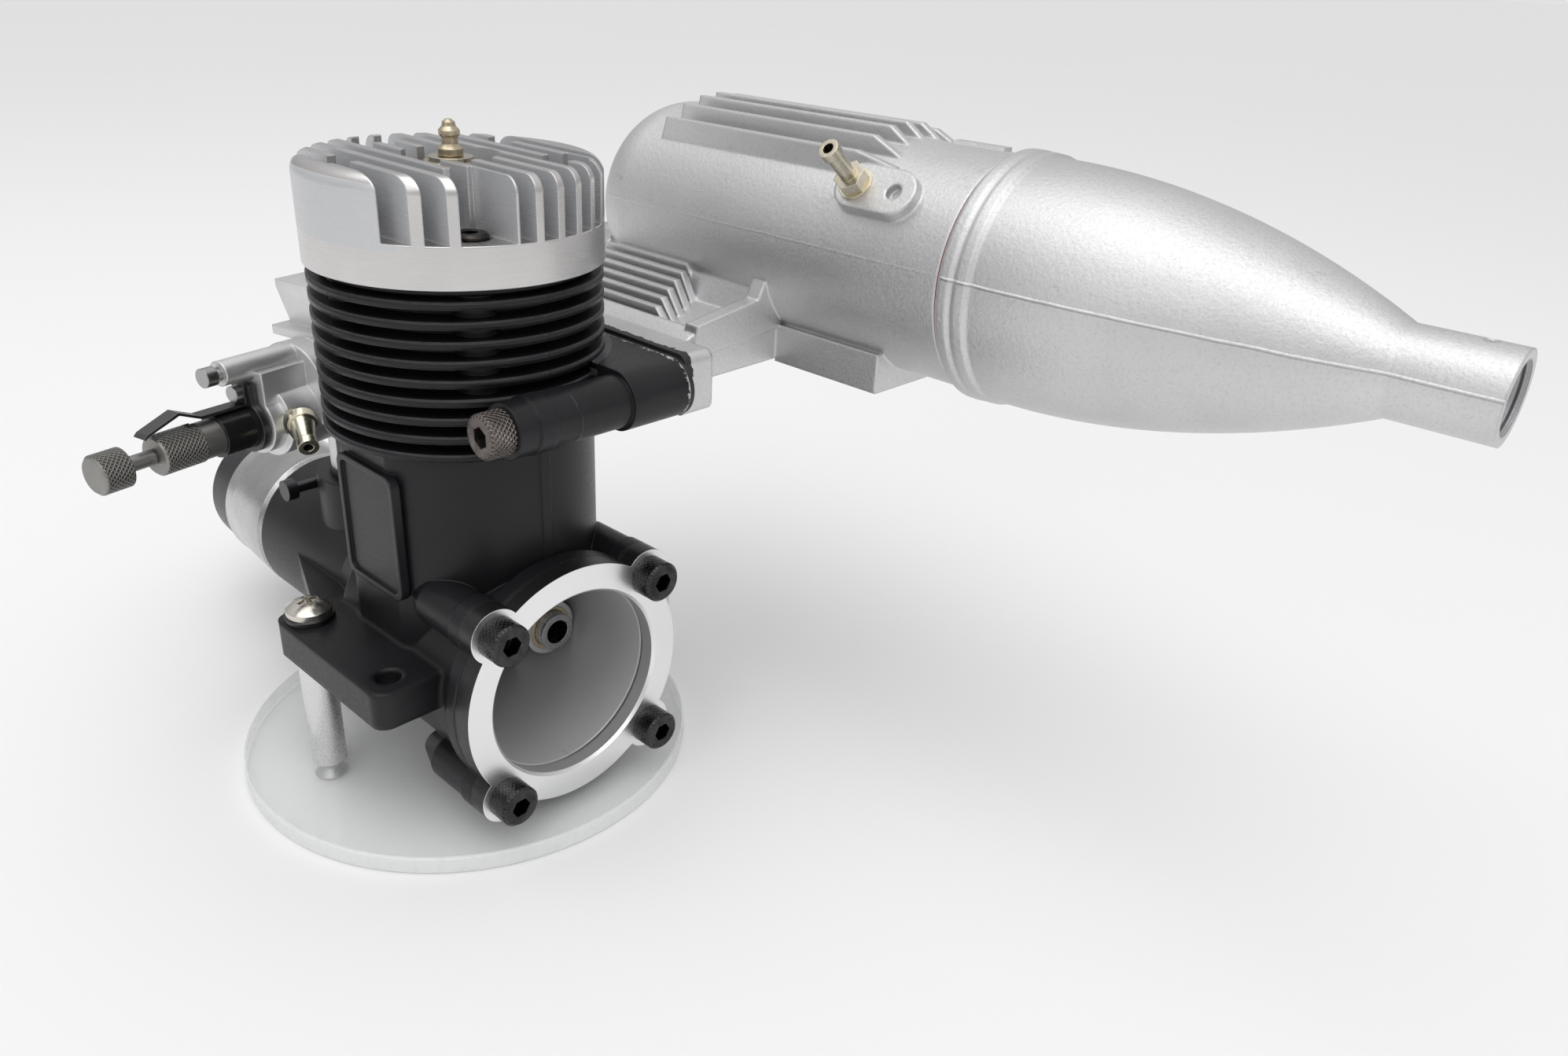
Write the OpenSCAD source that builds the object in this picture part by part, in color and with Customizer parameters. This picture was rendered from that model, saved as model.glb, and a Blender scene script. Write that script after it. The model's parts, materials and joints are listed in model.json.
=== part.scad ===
// Single-cylinder two-stroke model aircraft engine, 10 cc class, with its side silencer,
// bolted by its front lug holes to a round display stand.
// Origin: centre of the underside of the stand disc. +Z up along the cylinder,
// +Y forward to the propeller end, +X to the exhaust side. Millimetres.
// The engine's own frame has its origin where the crank axis meets the cylinder axis.

/* [Stand] */
// Radius of the clear stand disc
disc_r = 40.5; // [34:0.5:60]
// Thickness of the stand disc
disc_t = 3; // [2:0.5:6]
// Distance of the cylinder axis behind the disc's centre
axis_back = 6; // [0:0.5:12]
// Height of the crank axis above the stand's underside
crank_h = 26.3; // [26:0.1:50]
// Radius of a stand post
post_r = 3; // [2.6:0.1:5]

/* [Cylinder and piston] */
// Radius of the cylinder bore
bore_r = 12; // [11:0.1:12.5]
// Crank throw, half of the stroke
throw_r = 11; // [9:0.1:11]
// Distance between the connecting rod's two eyes
rod_len = 40; // [39:0.5:42]
// Crank angle at rest, from top dead centre towards the exhaust
rest_angle = 106; // [95:1:115]
// Height of the piston crown above the gudgeon pin
crown_up = 14.5; // [12:0.5:14.5]
// Length of the piston
piston_len = 26; // [22:0.5:26]
// Radius of the gudgeon pin
wrist_r = 2.75; // [2.5:0.05:3]
// Wall of the cylinder liner
liner_wall = 2; // [1.5:0.1:2]
// Height of the cylinder's top face above the crank axis
deck_z = 66.1; // [66:0.1:70]

/* [Cooling fins] */
// Radius of the cylinder fins
fin_r = 22.6; // [21:0.1:24]
// Number of cylinder fins
fin_n = 9; // [5:1:9]
// Spacing of the cylinder fins
fin_pitch = 2.9; // [2.4:0.05:2.95]
// Thickness of a cylinder fin
fin_t = 1.15; // [0.8:0.05:1.6]
// Radius of the barrel between the fins
barrel_r = 18; // [17.6:0.1:19]

/* [Cylinder head] */
// Radius of the head
head_r = 22.9; // [21.5:0.1:24]
// Height of the head from its joint to the fin tips
head_h = 15.4; // [14:0.2:18]
// Height of the slot floors above the head's joint
slot_floor = 6.2; // [5:0.1:7]
// Spacing of the head's straight fins
head_pitch = 3.9; // [3.4:0.1:4.4]
// Thickness of a head fin
head_fin_t = 1.3; // [0.9:0.1:1.8]
// Sideways offset of the fin pattern
head_shift = -0.62; // [-1.5:0.1:1.5]
// Radius of the circle of head screws
head_screw_circle = 17; // [16.8:0.1:17.4]

/* [Crankcase] */
// Radius of the crank chamber
chamber_r = 16.5; // [16.4:0.1:17]
// Outer radius of the crank chamber
chamber_or = 19.8; // [19.4:0.1:21]
// Radius of the rounded case below the fins
case_r = 20.6; // [19.8:0.1:22]
// Half the width between the case's flat sides
case_half = 19.5; // [19:0.1:20]
// Distance of the crankcase's rear face behind the cylinder axis
rear_y = 24.1; // [23:0.1:27]
// Distance of the nose's front face ahead of the cylinder axis
nose_y = 55.3; // [55.3:0.1:58]
// Radius of the nose
nose_r = 14.9; // [14:0.1:16]
// Half the spacing across of the mounting holes
lug_x = 26; // [25:0.1:27]
// Spacing of the mounting holes along one lug
lug_pitch = 25; // [22:0.1:27]
// Distance of the rear mounting holes behind the cylinder axis
lug_rear = 13; // [11:0.1:14]
// Thickness of a mounting lug
lug_t = 6.4; // [5:0.1:8]
// Height of the lug's underside relative to the crank axis
lug_low = -0.6; // [-2:0.1:0]
// Radius of a mounting hole
lug_hole_r = 2.15; // [2.05:0.05:2.4]

/* [Rear cover] */
// Half the spacing of the rear cover screws
cover_pitch = 15.2; // [15:0.1:16]
// Thickness of the rear cover
cover_t = 3; // [2:0.1:4]
// Outer radius of the rear cover between its ears
cover_r = 21.4; // [20.6:0.1:22]
// Radius of an ear round a cover screw
ear_r = 4.6; // [4.2:0.1:5]
// Thickness of the paper gaskets
gasket_t = 0.5; // [0.3:0.1:0.8]

/* [Shaft and bearings] */
// Radius of the crankshaft's main journal
journal_r = 7.5; // [7:0.1:7.8]
// Radius of the shaft in the front bearing
shaft_r = 4.75; // [4.4:0.05:5]
// Radius of the propeller thread
thread_r = 3.97; // [3.2:0.01:4]
// Outer radius of the rear bearing
rear_bearing_r = 14; // [13.5:0.1:14.4]
// Outer radius of the front bearing
front_bearing_r = 11; // [10.5:0.1:12]
// Width of each bearing
bearing_w = 7; // [6:0.1:7]
// Length of the drive hub
hub_len = 17; // [12:0.5:20]
// Thickness of the propeller washer
prop_washer_t = 9.3; // [6:0.1:12]
// Running clearance of the shaft and the piston
running = 0.03; // [0.02:0.01:0.06]

/* [Exhaust and silencer] */
// Height of the exhaust above the crank axis
exhaust_z = 47.2; // [46.5:0.1:48]
// Half the height of the exhaust flange
exhaust_half = 4.9; // [4.6:0.1:5.4]
// Distance of the exhaust's joint face from the cylinder axis
exhaust_x = 21.5; // [21.5:0.1:24]
// Half the spacing of the silencer bolts
bolt_y = 26; // [26:0.1:28]
// Thickness of the silencer's flange
flange_t = 6; // [4:0.5:8]
// Distance of the silencer's axis from the cylinder axis
silencer_x = 64.5; // [62:0.5:70]
// Height of the silencer's axis above the crank axis
silencer_z = 65.7; // [64:0.1:66]
// Radius of the silencer's front chamber
silencer_r = 19.2; // [18.5:0.1:20]
// Wall of the silencer
silencer_wall = 1.8; // [1.4:0.1:2.4]
// Front end of the silencer ahead of the cylinder axis
silencer_front = 27.6; // [26:0.1:34]
// Length of the front chamber
chamber_len = 87; // [84:1:95]
// Length of the rear cone
cone_len = 61.6; // [50:0.2:75]
// Length of the tail pipe
tail_len = 13.9; // [10:0.1:20]
// Outer radius of the tail pipe
tail_r = 6.5; // [6.3:0.1:7.5]
// Radius of the tail pipe's bore
tail_bore_r = 5; // [4:0.1:5.4]

/* [Carburettor] */
// Distance of the carburettor ahead of the cylinder axis
carb_y = 33; // [33:0.1:36]
// Height of the throttle rotor above the crank axis
rotor_z = 35.9; // [35:0.1:37]
// Radius of the throttle rotor
rotor_r = 5; // [4.5:0.1:5.2]
// Radius of the air passage
venturi_r = 4.2; // [3.5:0.1:4.6]
// Radius of the carburettor's neck
neck_r = 8; // [7.5:0.1:8.5]
// Top of the intake horn above the crank axis
horn_z = 56.4; // [54:0.1:60]
// Left end of the needle's knob, from the cylinder axis
knob_x = 52.6; // [51:0.1:56]
// Radius of the needle's knob
knob_r = 3.2; // [2.8:0.1:4]
// Turn of the carburettor that sets its needle back from the propeller
carb_yaw = 12.9; // [0:0.1:14]

/* [Hidden] */
$fn = 40;
eps = 0.5;
fit = 0.02;
gap = 0.3;

// Levels along the crank axis
web_y = 3.2;
web_t = 7;
rod_front = 2.4;
rod_rear = -5.6;
pin_rear = -7.8;
rear_bearing_y = 12;
front_bearing_y = nose_y - 2.2 - bearing_w;
hub_y = nose_y + gap;
hub_front = hub_y + hub_len;
nut_y = hub_front + prop_washer_t;
nut_t = 6.7;
shaft_end = nut_y + nut_t + 5.5;
groove_y = nut_y + nut_t + 0.3;
groove_w = 0.8;

// Levels up the cylinder
wrist_z = throw_r * cos(rest_angle)
  + sqrt(rod_len * rod_len - pow(throw_r * sin(rest_angle), 2));
rod_tilt = asin(throw_r * sin(rest_angle) / rod_len);
crown_z = wrist_z + crown_up;
head_gasket_t = 0.4;
head_z = deck_z + head_gasket_t;
liner_r = bore_r + liner_wall;
liner_low = 19.2;
liner_flange_r = liner_r + 1.4;
liner_flange_t = 1.6;
fin_top = deck_z - 1.9;

// Fasteners
screw4_r = 2;
screw4_head_r = 3.5;
screw4_head_h = 4;
screw3_r = 1.5;
screw3_head_r = 2.75;
screw3_head_h = 3;
head_seat = head_z + 4;
screw_turn = 26;

// Exhaust and silencer
boss_r = 4.3;
flange_x = exhaust_x + 0.8;
neck_x = flange_x + flange_t;
joint_y = silencer_front - chamber_len;
seal_t = 0.5;
cone_y = joint_y - seal_t;
tail_y = cone_y - cone_len;
ring_w = 6;
ring_r = silencer_r + 1.1;
dome_r = 13;

// Rear cover and mounting lugs
cover_y = -rear_y - gasket_t;
front_hole_y = lug_pitch - lug_rear;
lug_out = 30.6;
lug_back = -17.6;
lug_front = 16;

// Stand
disc_lift = crank_h + lug_low - disc_t;

module at_engine() { translate([0, -axis_back, crank_h]) children(); }

// A cylinder along +Y from y0 to y1
module y_cyl(r, y0, y1, r_end = -1) {
  translate([0, y0, 0]) rotate([-90, 0, 0])
    cylinder(h = y1 - y0, r1 = r, r2 = r_end < 0 ? r : r_end);
}

// A cylinder along +X from x0 to x1
module x_cyl(r, x0, x1, r_end = -1) {
  translate([x0, 0, 0]) rotate([0, 90, 0])
    cylinder(h = x1 - x0, r1 = r, r2 = r_end < 0 ? r : r_end);
}

// A solid turned about the Y axis from a profile of radius and distance along +Y
module turn_y() { rotate([-90, 0, 0]) rotate_extrude($fn = 72) children(); }

module ring_y(r_out, r_in, y0, y1) {
  difference() {
    y_cyl(r_out, y0, y1);
    y_cyl(r_in, y0 - eps, y1 + eps);
  }
}

module box(x0, x1, y0, y1, z0, z1) {
  translate([x0, y0, z0]) cube([x1 - x0, y1 - y0, z1 - z0]);
}

// A rectangle centred on the origin with round corners
module round_rect(w, l, r) {
  square([w - 2 * r, l], center = true);
  square([w, l - 2 * r], center = true);
  for (sx = [-1, 1], sy = [-1, 1])
    translate([sx * (w / 2 - r), sy * (l / 2 - r)]) circle(r);
}

// Socket head screw standing on z = 0 with its shank below
module cap_screw(r, len, head_r, head_h) {
  difference() {
    union() {
      cylinder(h = head_h - 0.4, r = head_r);
      translate([0, 0, head_h - 0.4]) cylinder(h = 0.4, r1 = head_r, r2 = head_r - 0.4);
      translate([0, 0, -len]) cylinder(h = len, r = r);
    }
    translate([0, 0, head_h * 0.4])
      cylinder(h = head_h, r = head_r * 0.49, $fn = 6);
  }
}

module cover_corners() {
  for (sx = [-1, 1], sz = [-1, 1])
    translate([sx * cover_pitch, 0, sz * cover_pitch]) children();
}

module head_screw_places() {
  for (i = [0:4]) rotate([0, 0, 72 * i - screw_turn]) translate([0, -head_screw_circle, 0])
    rotate([0, 0, screw_turn - 72 * i]) children();
}

module both_sides() {
  for (s = [0, 1]) mirror([s, 0, 0]) children();
}

// Outline shared by the rear cover, its gasket and the case's rear flange
module cover_outline() {
  circle(cover_r, $fn = 72);
  for (sx = [-1, 1], sz = [-1, 1])
    translate([sx * cover_pitch, sz * cover_pitch]) {
      circle(ear_r);
      rotate(45 * sx * sz + (sx < 0 ? 180 : 0))
        polygon([[0, 0.85 - ear_r], [0, ear_r - 0.85], [-4, ear_r + 3.2], [-4, -ear_r - 3.2]]);
    }
}

module cover_plate(y0, t, r_in) {
  translate([0, y0, 0]) rotate([90, 0, 0]) linear_extrude(t) difference() {
    cover_outline();
    circle(r_in, $fn = 72);
    for (sx = [-1, 1], sz = [-1, 1])
      translate([sx * cover_pitch, sz * cover_pitch]) circle(screw4_r + fit);
  }
}

// Outline of the exhaust flange, across the bolts
module exhaust_outline(hole_r) {
  difference() {
    union() {
      square([2 * bolt_y, 2 * exhaust_half], center = true);
      for (s = [-1, 1]) translate([s * bolt_y, 0]) circle(exhaust_half);
    }
    square([20, 7], center = true);
    for (s = [-1, 1]) translate([s * bolt_y, 0]) circle(hole_r);
  }
}

module exhaust_plate(x0, t, hole_r) {
  translate([x0, 0, exhaust_z]) rotate([90, 0, 90]) linear_extrude(t)
    exhaust_outline(hole_r);
}

// A ball race: the ring between two radii, less the balls' groove
module race(y0, r_out, r_in, pitch_r, ball_r) {
  turn_y() difference() {
    translate([r_in, y0]) square([r_out - r_in, bearing_w]);
    translate([pitch_r, y0 + bearing_w / 2]) circle(ball_r + 0.06);
  }
}

module ball_set(y0, pitch_r, ball_r, n) {
  for (i = [0:n - 1]) rotate([0, 360 / n * i, 0])
    translate([pitch_r, y0 + bearing_w / 2, 0]) sphere(ball_r, $fn = 24);
  // Cage with a round pocket for each ball
  difference() {
    ring_y(pitch_r + 0.5, pitch_r - 0.5, y0 + 0.8, y0 + bearing_w - 0.8);
    for (i = [0:n - 1]) rotate([0, 360 / n * i, 0]) translate([0, y0 + bearing_w / 2, 0])
      x_cyl(ball_r + 0.1, pitch_r - 2, pitch_r + 2);
  }
}

rear_ball_r = 2.3;
rear_ball_pitch = (rear_bearing_r + journal_r) / 2;
front_ball_r = 1.75;
front_ball_pitch = (front_bearing_r + shaft_r) / 2;

// Case: finned barrel, crank chamber, nose, lugs and exhaust stack
module case_fins() {
  difference() {
    rotate_extrude($fn = 72) {
      translate([0, 40]) square([barrel_r, deck_z - 40]);
      translate([0, deck_z - 0.8]) square([deck_r, 0.8]);
      for (i = [0:fin_n - 1])
        translate([0, fin_top - i * fin_pitch - fin_t / 2]) square([fin_r, fin_t]);
    }
    box(-fin_r, -barrel_r, barrel_r, fin_r + 1, 0, fin_top - 5.4 * fin_pitch);
  }
  box(-15, 15, 8, 17.5, 30, fin_top - 5.4 * fin_pitch);
}

deck_r = 20.8;

module case_lugs() {
  both_sides() translate([(lug_out + 12) / 2, (lug_front + lug_back) / 2, lug_low])
    linear_extrude(lug_t) round_rect(lug_out - 12, lug_front - lug_back, 2.5);
}

module case_nameplate() {
  translate([-case_half - 1, -1.5, 26]) rotate([90, 0, 90]) linear_extrude(1 + eps)
    round_rect(16.4, 21.5, 2);
}

module case_nameplate_field() {
  translate([-case_half - 1 - eps, -1.5, 26]) rotate([90, 0, 90])
    linear_extrude(0.5 + eps) round_rect(14.4, 19.5, 1.4);
}

module case_nose() {
  y_cyl(17.4, 10, 24, nose_r);
  y_cyl(nose_r, 23.9, nose_y - 0.8);
  y_cyl(nose_r, nose_y - 0.8, nose_y, nose_r - 0.8);
  translate([0, carb_y, 0]) cylinder(h = carb_seat, r = neck_r + 2.8);
  // Side webs from the lugs to the nose, and the web below the carburettor
  both_sides() translate([0, 0, lug_low]) linear_extrude(4.2)
    polygon([[14, 8], [27.5, 15], [22, 19], [14.4, 40]]);
  translate([-1.6, 16, -chamber_or + 0.6]) rotate([90, 0, 90]) linear_extrude(3.2)
    polygon([[-6, 0], [4, 0], [34, 6], [34, 8], [-6, 8]]);
  translate([-9, 14, 0]) box(0, 18, 0, carb_y - 14, 8, carb_seat - 1.5);
}

carb_seat = 20;

module case_solid() {
  intersection() {
    translate([0, 0, 4]) cylinder(h = 37.5, r = case_r, $fn = 72);
    box(-case_half, case_half, -case_r - 1, case_r + 1, 0, 60);
  }
  head_screw_places() translate([0, 0, 49]) cylinder(h = deck_z - 49.4, r = screw3_r + 1.9);
  case_fins();
  y_cyl(chamber_or, -rear_y + 2, 14);
  translate([0, -rear_y + 3, 0]) rotate([90, 0, 0]) linear_extrude(3) cover_outline();
  cover_corners() {
    y_cyl(ear_r - 0.3, -rear_y, -12);
    y_cyl(ear_r - 0.3, -12 - fit, -7, 2.4);
  }
  case_lugs();
  // Parting seam down the middle of the case's rear
  box(-seam_half, seam_half, -case_r - 0.25, -case_r + 2, 18, 41.5);
  case_nameplate();
  case_nose();
  // Exhaust stack with its bolt bosses
  translate([10, 0, exhaust_z]) rotate([90, 0, 90]) linear_extrude(exhaust_x - 10)
    union() {
      square([2 * bolt_y, 2 * exhaust_half], center = true);
      for (s = [-1, 1]) translate([s * bolt_y, 0]) circle(exhaust_half);
    }
  translate([0, -bolt_y, exhaust_z]) {
    x_cyl(boss_r, rear_boss_x, exhaust_x);
    x_cyl(boss_r + 0.25, rear_boss_x + 3.6, rear_boss_x + 6.6);
  }
  box(0, exhaust_x - eps, -bolt_y, 0, exhaust_z - boss_r, exhaust_z + 2);
}

seam_half = 0.9;
rear_boss_x = -10.9;
front_boss_x = 17.3;

module crankcase() {
  color([0.09, 0.09, 0.1]) at_engine() difference() {
    case_solid();
    case_nameplate_field();
    // Crank chamber, main bore and bearing seats
    turn_y() {
      translate([0, -rear_y - eps]) square([chamber_r, rear_bearing_y + rear_y + eps]);
      translate([0, rear_bearing_y - eps]) square([rear_bearing_r, bearing_w + eps]);
      translate([0, rear_bearing_y]) square([journal_r + running, nose_y - rear_bearing_y]);
      translate([0, front_bearing_y]) square([front_bearing_r, nose_y - front_bearing_y + eps]);
    }
    // Cylinder bore with the liner's flange recess
    rotate_extrude($fn = 72) {
      translate([0, 5]) square([liner_r + fit, deck_z]);
      translate([0, deck_z - liner_flange_t]) square([liner_flange_r + fit, 6]);
    }
    head_screw_places() translate([0, 0, deck_z - 8])
      cylinder(h = 8 + eps, r = screw3_r + fit);
    // Exhaust passage, joint face and bolt holes
    box(exhaust_x, 30, -30, 30, exhaust_z - exhaust_half - 0.7, exhaust_z + exhaust_half + 0.8);
    box(liner_r - 2, exhaust_x + eps, -10, 10, exhaust_z - 3.5, exhaust_z + 3.5);
    translate([0, -bolt_y, exhaust_z]) x_cyl(screw4_r + fit, rear_boss_x - eps, exhaust_x + eps);
    translate([0, bolt_y, exhaust_z]) x_cyl(screw4_r + fit, 0, exhaust_x + eps);
    box(0, front_boss_x, fin_r - 1.4, bolt_y + 6, exhaust_z - 6, exhaust_z + 6);
    // Seat of the carburettor and its clamp screw
    translate([0, carb_y, 0]) {
      cylinder(h = carb_seat + eps, r = venturi_r);
      translate([0, 0, carb_seat - 8]) cylinder(h = 8 + eps, r = neck_r - 1 + fit);
    }
    translate([0, carb_y + clamp_y, carb_seat - 4]) x_cyl(1.02, -12, 12);
    cover_corners() y_cyl(screw4_r + fit, -rear_y - eps, -rear_y + 9.4);
    for (s = [-1, 1], y = [-lug_rear, front_hole_y])
      translate([s * lug_x, y, lug_low - eps])
        cylinder(h = lug_t + 2 * eps, r = lug_hole_r);
  }
}

clamp_y = 8.4;

module cylinder_liner() {
  color([0.72, 0.7, 0.62]) at_engine() difference() {
    union() {
      translate([0, 0, liner_low])
        cylinder(h = deck_z - liner_low, r = liner_r, $fn = 72);
      translate([0, 0, deck_z - liner_flange_t])
        cylinder(h = liner_flange_t, r = liner_flange_r, $fn = 72);
    }
    translate([0, 0, liner_low - eps]) cylinder(h = deck_z, r = bore_r, $fn = 72);
    // Exhaust port and the two transfer ports
    for (y = [-5, 5]) box(8, liner_r + 1, y - 4.2, y + 4.2, exhaust_z - 3, exhaust_z + 3);
    for (s = [-1, 1]) translate([-2, s * bore_r, exhaust_z - 1.5])
      cube([9, 6, 4.4], center = true);
  }
}

module piston() {
  color([0.75, 0.76, 0.78]) at_engine() difference() {
    translate([0, 0, crown_z - piston_len])
      cylinder(h = piston_len, r = bore_r - running, $fn = 72);
    // Hollow skirt, leaving the two pin bosses
    difference() {
      translate([0, 0, crown_z - piston_len - eps])
        cylinder(h = piston_len - 3.5 + eps, r = bore_r - 2, $fn = 72);
      for (s = [-1, 1]) translate([0, 0, wrist_z]) intersection() {
        y_cyl(wrist_r + 2, s > 0 ? 5 : -bore_r, s > 0 ? bore_r : -5);
        cylinder(h = 12, r = bore_r - 1.5, center = true, $fn = 72);
      }
    }
    translate([0, 0, wrist_z]) y_cyl(wrist_r + fit, -bore_r - 1, bore_r + 1);
  }
}

wrist_half = 9.6;

module wrist_pin() {
  color([0.6, 0.6, 0.62]) at_engine() translate([0, 0, wrist_z])
    ring_y(wrist_r, wrist_r - 1.2, -wrist_half, wrist_half);
}

module wrist_pin_clips() {
  color([0.5, 0.5, 0.52]) at_engine() for (s = [-1, 1])
    translate([0, s * (wrist_half + 0.4), wrist_z]) difference() {
      ring_y(wrist_r, wrist_r - 0.6, -0.35, 0.35);
      box(-0.9, 0.9, -1, 1, -wrist_r - 1, 0);
    }
}

big_end_r = 5.2;
big_bush_r = 4.2;
little_end_r = 4.4;
little_bush_r = 3.5;
pin_r = 3.5;

// The rod's own frame: gudgeon pin at the origin, crankpin straight below
module rod_frame() {
  at_engine() translate([0, 0, wrist_z]) rotate([0, -rod_tilt, 0]) children();
}

module conrod() {
  color([0.74, 0.74, 0.73]) rod_frame() difference() {
    union() {
      y_cyl(little_end_r, -4.6, rod_front);
      translate([0, 0, -rod_len]) y_cyl(big_end_r, rod_rear, rod_front);
      translate([0, 1, 0]) rotate([90, 0, 0]) linear_extrude(4.4)
        polygon([[-2.6, -2.5], [2.6, -2.5], [3.5, 3 - rod_len], [-3.5, 3 - rod_len]]);
    }
    // Flutes on both faces of the shank, and the eyes
    for (y = [-4, 0.1]) translate([0, y + 1.5, 0]) rotate([90, 0, 0])
      linear_extrude(1.5)
        polygon([[-1.3, -6], [1.3, -6], [1.9, 7 - rod_len], [-1.9, 7 - rod_len]]);
    y_cyl(little_bush_r, -7, 6);
    translate([0, 0, -rod_len]) y_cyl(big_bush_r, -7, 6);
  }
}

module conrod_bushes() {
  color([0.72, 0.55, 0.28]) rod_frame() {
    ring_y(little_bush_r, wrist_r + running, -4.6, rod_front);
    translate([0, 0, -rod_len]) ring_y(big_bush_r, pin_r + running, rod_rear - 0.2, rod_front);
  }
}

// Hollow crankpin, which stays in the rod and stops short of the crank web
module crank_pin() {
  color([0.6, 0.6, 0.61]) rod_frame() translate([0, 0, -rod_len])
    ring_y(pin_r, pin_r - 1.2, pin_rear, web_y - gap);
}

module crankshaft() {
  color([0.55, 0.55, 0.57]) at_engine() difference() {
    union() {
      rotate([0, rest_angle, 0]) difference() {
        y_cyl(chamber_r - 0.7, web_y, web_y + web_t);
        // Relief beside the pin leaves the counterweight opposite it
        for (s = [-1, 1]) translate([s * 15.5, 0, 6]) y_cyl(6.8, web_y - eps, web_y + 4.5);
      }
      y_cyl(journal_r, web_y + web_t - eps, front_bearing_y);
      y_cyl(shaft_r, front_bearing_y - eps, hub_front - 4.5);
      y_cyl(thread_r, hub_front - 5, groove_y);
      y_cyl(thread_r - 0.5, groove_y - eps, groove_y + groove_w + eps);
      y_cyl(thread_r, groove_y + groove_w, shaft_end - 0.8);
      y_cyl(thread_r, shaft_end - 0.8, shaft_end, thread_r - 0.8);
    }
    // Hollow pin, gas passage and the rotary valve's window
    rotate([0, rest_angle, 0]) translate([0, 0, throw_r])
      y_cyl(pin_r - 1.2, 0, web_y + web_t - 1);
    y_cyl(journal_r - 2.2, 0, carb_y + 6.8);
    rotate([0, rest_angle - 40, 0]) box(-3.8, 3.8, carb_y - 6, carb_y + 6, 0, journal_r + 1);
    translate([0, hub_y + 6, shaft_r]) cube([2, 5, 2], center = true);
  }
}

module rear_bearing_outer() {
  color([0.66, 0.67, 0.68]) at_engine()
    race(rear_bearing_y, rear_bearing_r, rear_ball_pitch + 1.2, rear_ball_pitch, rear_ball_r);
}

module rear_bearing_inner() {
  color([0.66, 0.67, 0.68]) at_engine()
    race(rear_bearing_y, rear_ball_pitch - 1.2, journal_r, rear_ball_pitch, rear_ball_r);
}

module rear_bearing_balls() {
  color([0.8, 0.8, 0.82]) at_engine() ball_set(rear_bearing_y, rear_ball_pitch, rear_ball_r, 9);
}

module front_bearing_outer() {
  color([0.66, 0.67, 0.68]) at_engine()
    race(front_bearing_y, front_bearing_r, front_ball_pitch + 1, front_ball_pitch, front_ball_r);
}

module front_bearing_inner() {
  color([0.66, 0.67, 0.68]) at_engine()
    race(front_bearing_y, front_ball_pitch - 1, shaft_r, front_ball_pitch, front_ball_r);
}

module front_bearing_balls() {
  color([0.8, 0.8, 0.82]) at_engine()
    ball_set(front_bearing_y, front_ball_pitch, front_ball_r, 8);
}

module drive_hub() {
  color([0.8, 0.8, 0.81]) at_engine() difference() {
    union() {
      y_cyl(front_ball_pitch - 1.1, front_bearing_y + bearing_w, hub_y + eps);
      y_cyl(nose_r - 0.7, hub_y, hub_y + 0.7, nose_r);
      y_cyl(nose_r, hub_y + 0.7, hub_front - 3, nose_r - 0.9);
      y_cyl(nose_r - 0.9, hub_front - 3, hub_front);
    }
    y_cyl(shaft_r, hub_y - 10, hub_front + eps);
    y_cyl(9, hub_front - 1, hub_front + eps);
    // Keyway for the shaft key
    translate([0, hub_y + 6, shaft_r]) cube([2, 5, 2.4], center = true);
  }
}

module hub_key() {
  color([0.5, 0.5, 0.52]) at_engine() translate([0, hub_y + 6, shaft_r])
    cube([2, 5, 2], center = true);
}

module prop_washer() {
  color([0.1, 0.1, 0.11]) at_engine() difference() {
    union() {
      y_cyl(9, hub_front - 1, hub_front);
      y_cyl(nose_r - 1.2, hub_front, nut_y - 1.2, nose_r - 1.8);
      y_cyl(nose_r - 1.8, nut_y - 1.2, nut_y, nose_r - 3);
    }
    y_cyl(thread_r + 0.1, hub_front - 1 - eps, nut_y + eps);
    y_cyl(shaft_r + 0.1, hub_front - 1 - eps, hub_front - 0.4);
  }
}

module prop_nut() {
  color([0.2, 0.2, 0.21]) at_engine() difference() {
    intersection() {
      translate([0, nut_y, 0]) rotate([-90, 0, 0]) cylinder(h = nut_t, r = 7.33, $fn = 6);
      turn_y() polygon([[0, nut_y], [7.33, nut_y], [7.33, nut_y + nut_t - 0.9],
        [6.4, nut_y + nut_t], [0, nut_y + nut_t]]);
    }
    y_cyl(thread_r, nut_y - eps, nut_y + nut_t + eps);
  }
}

// Head: turned disc with straight fins milled front to back
head_slots = 10;
pocket_half = screw3_head_r + 0.45;
plug_seat = head_z + 10.4;
shoulder_r = 2.4;

module head_blank() {
  translate([0, 0, head_z]) rotate_extrude($fn = 72) {
    square([head_r, head_h - shoulder_r]);
    square([head_r - shoulder_r, head_h]);
    translate([head_r - shoulder_r, head_h - shoulder_r]) circle(shoulder_r);
  }
}

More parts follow.
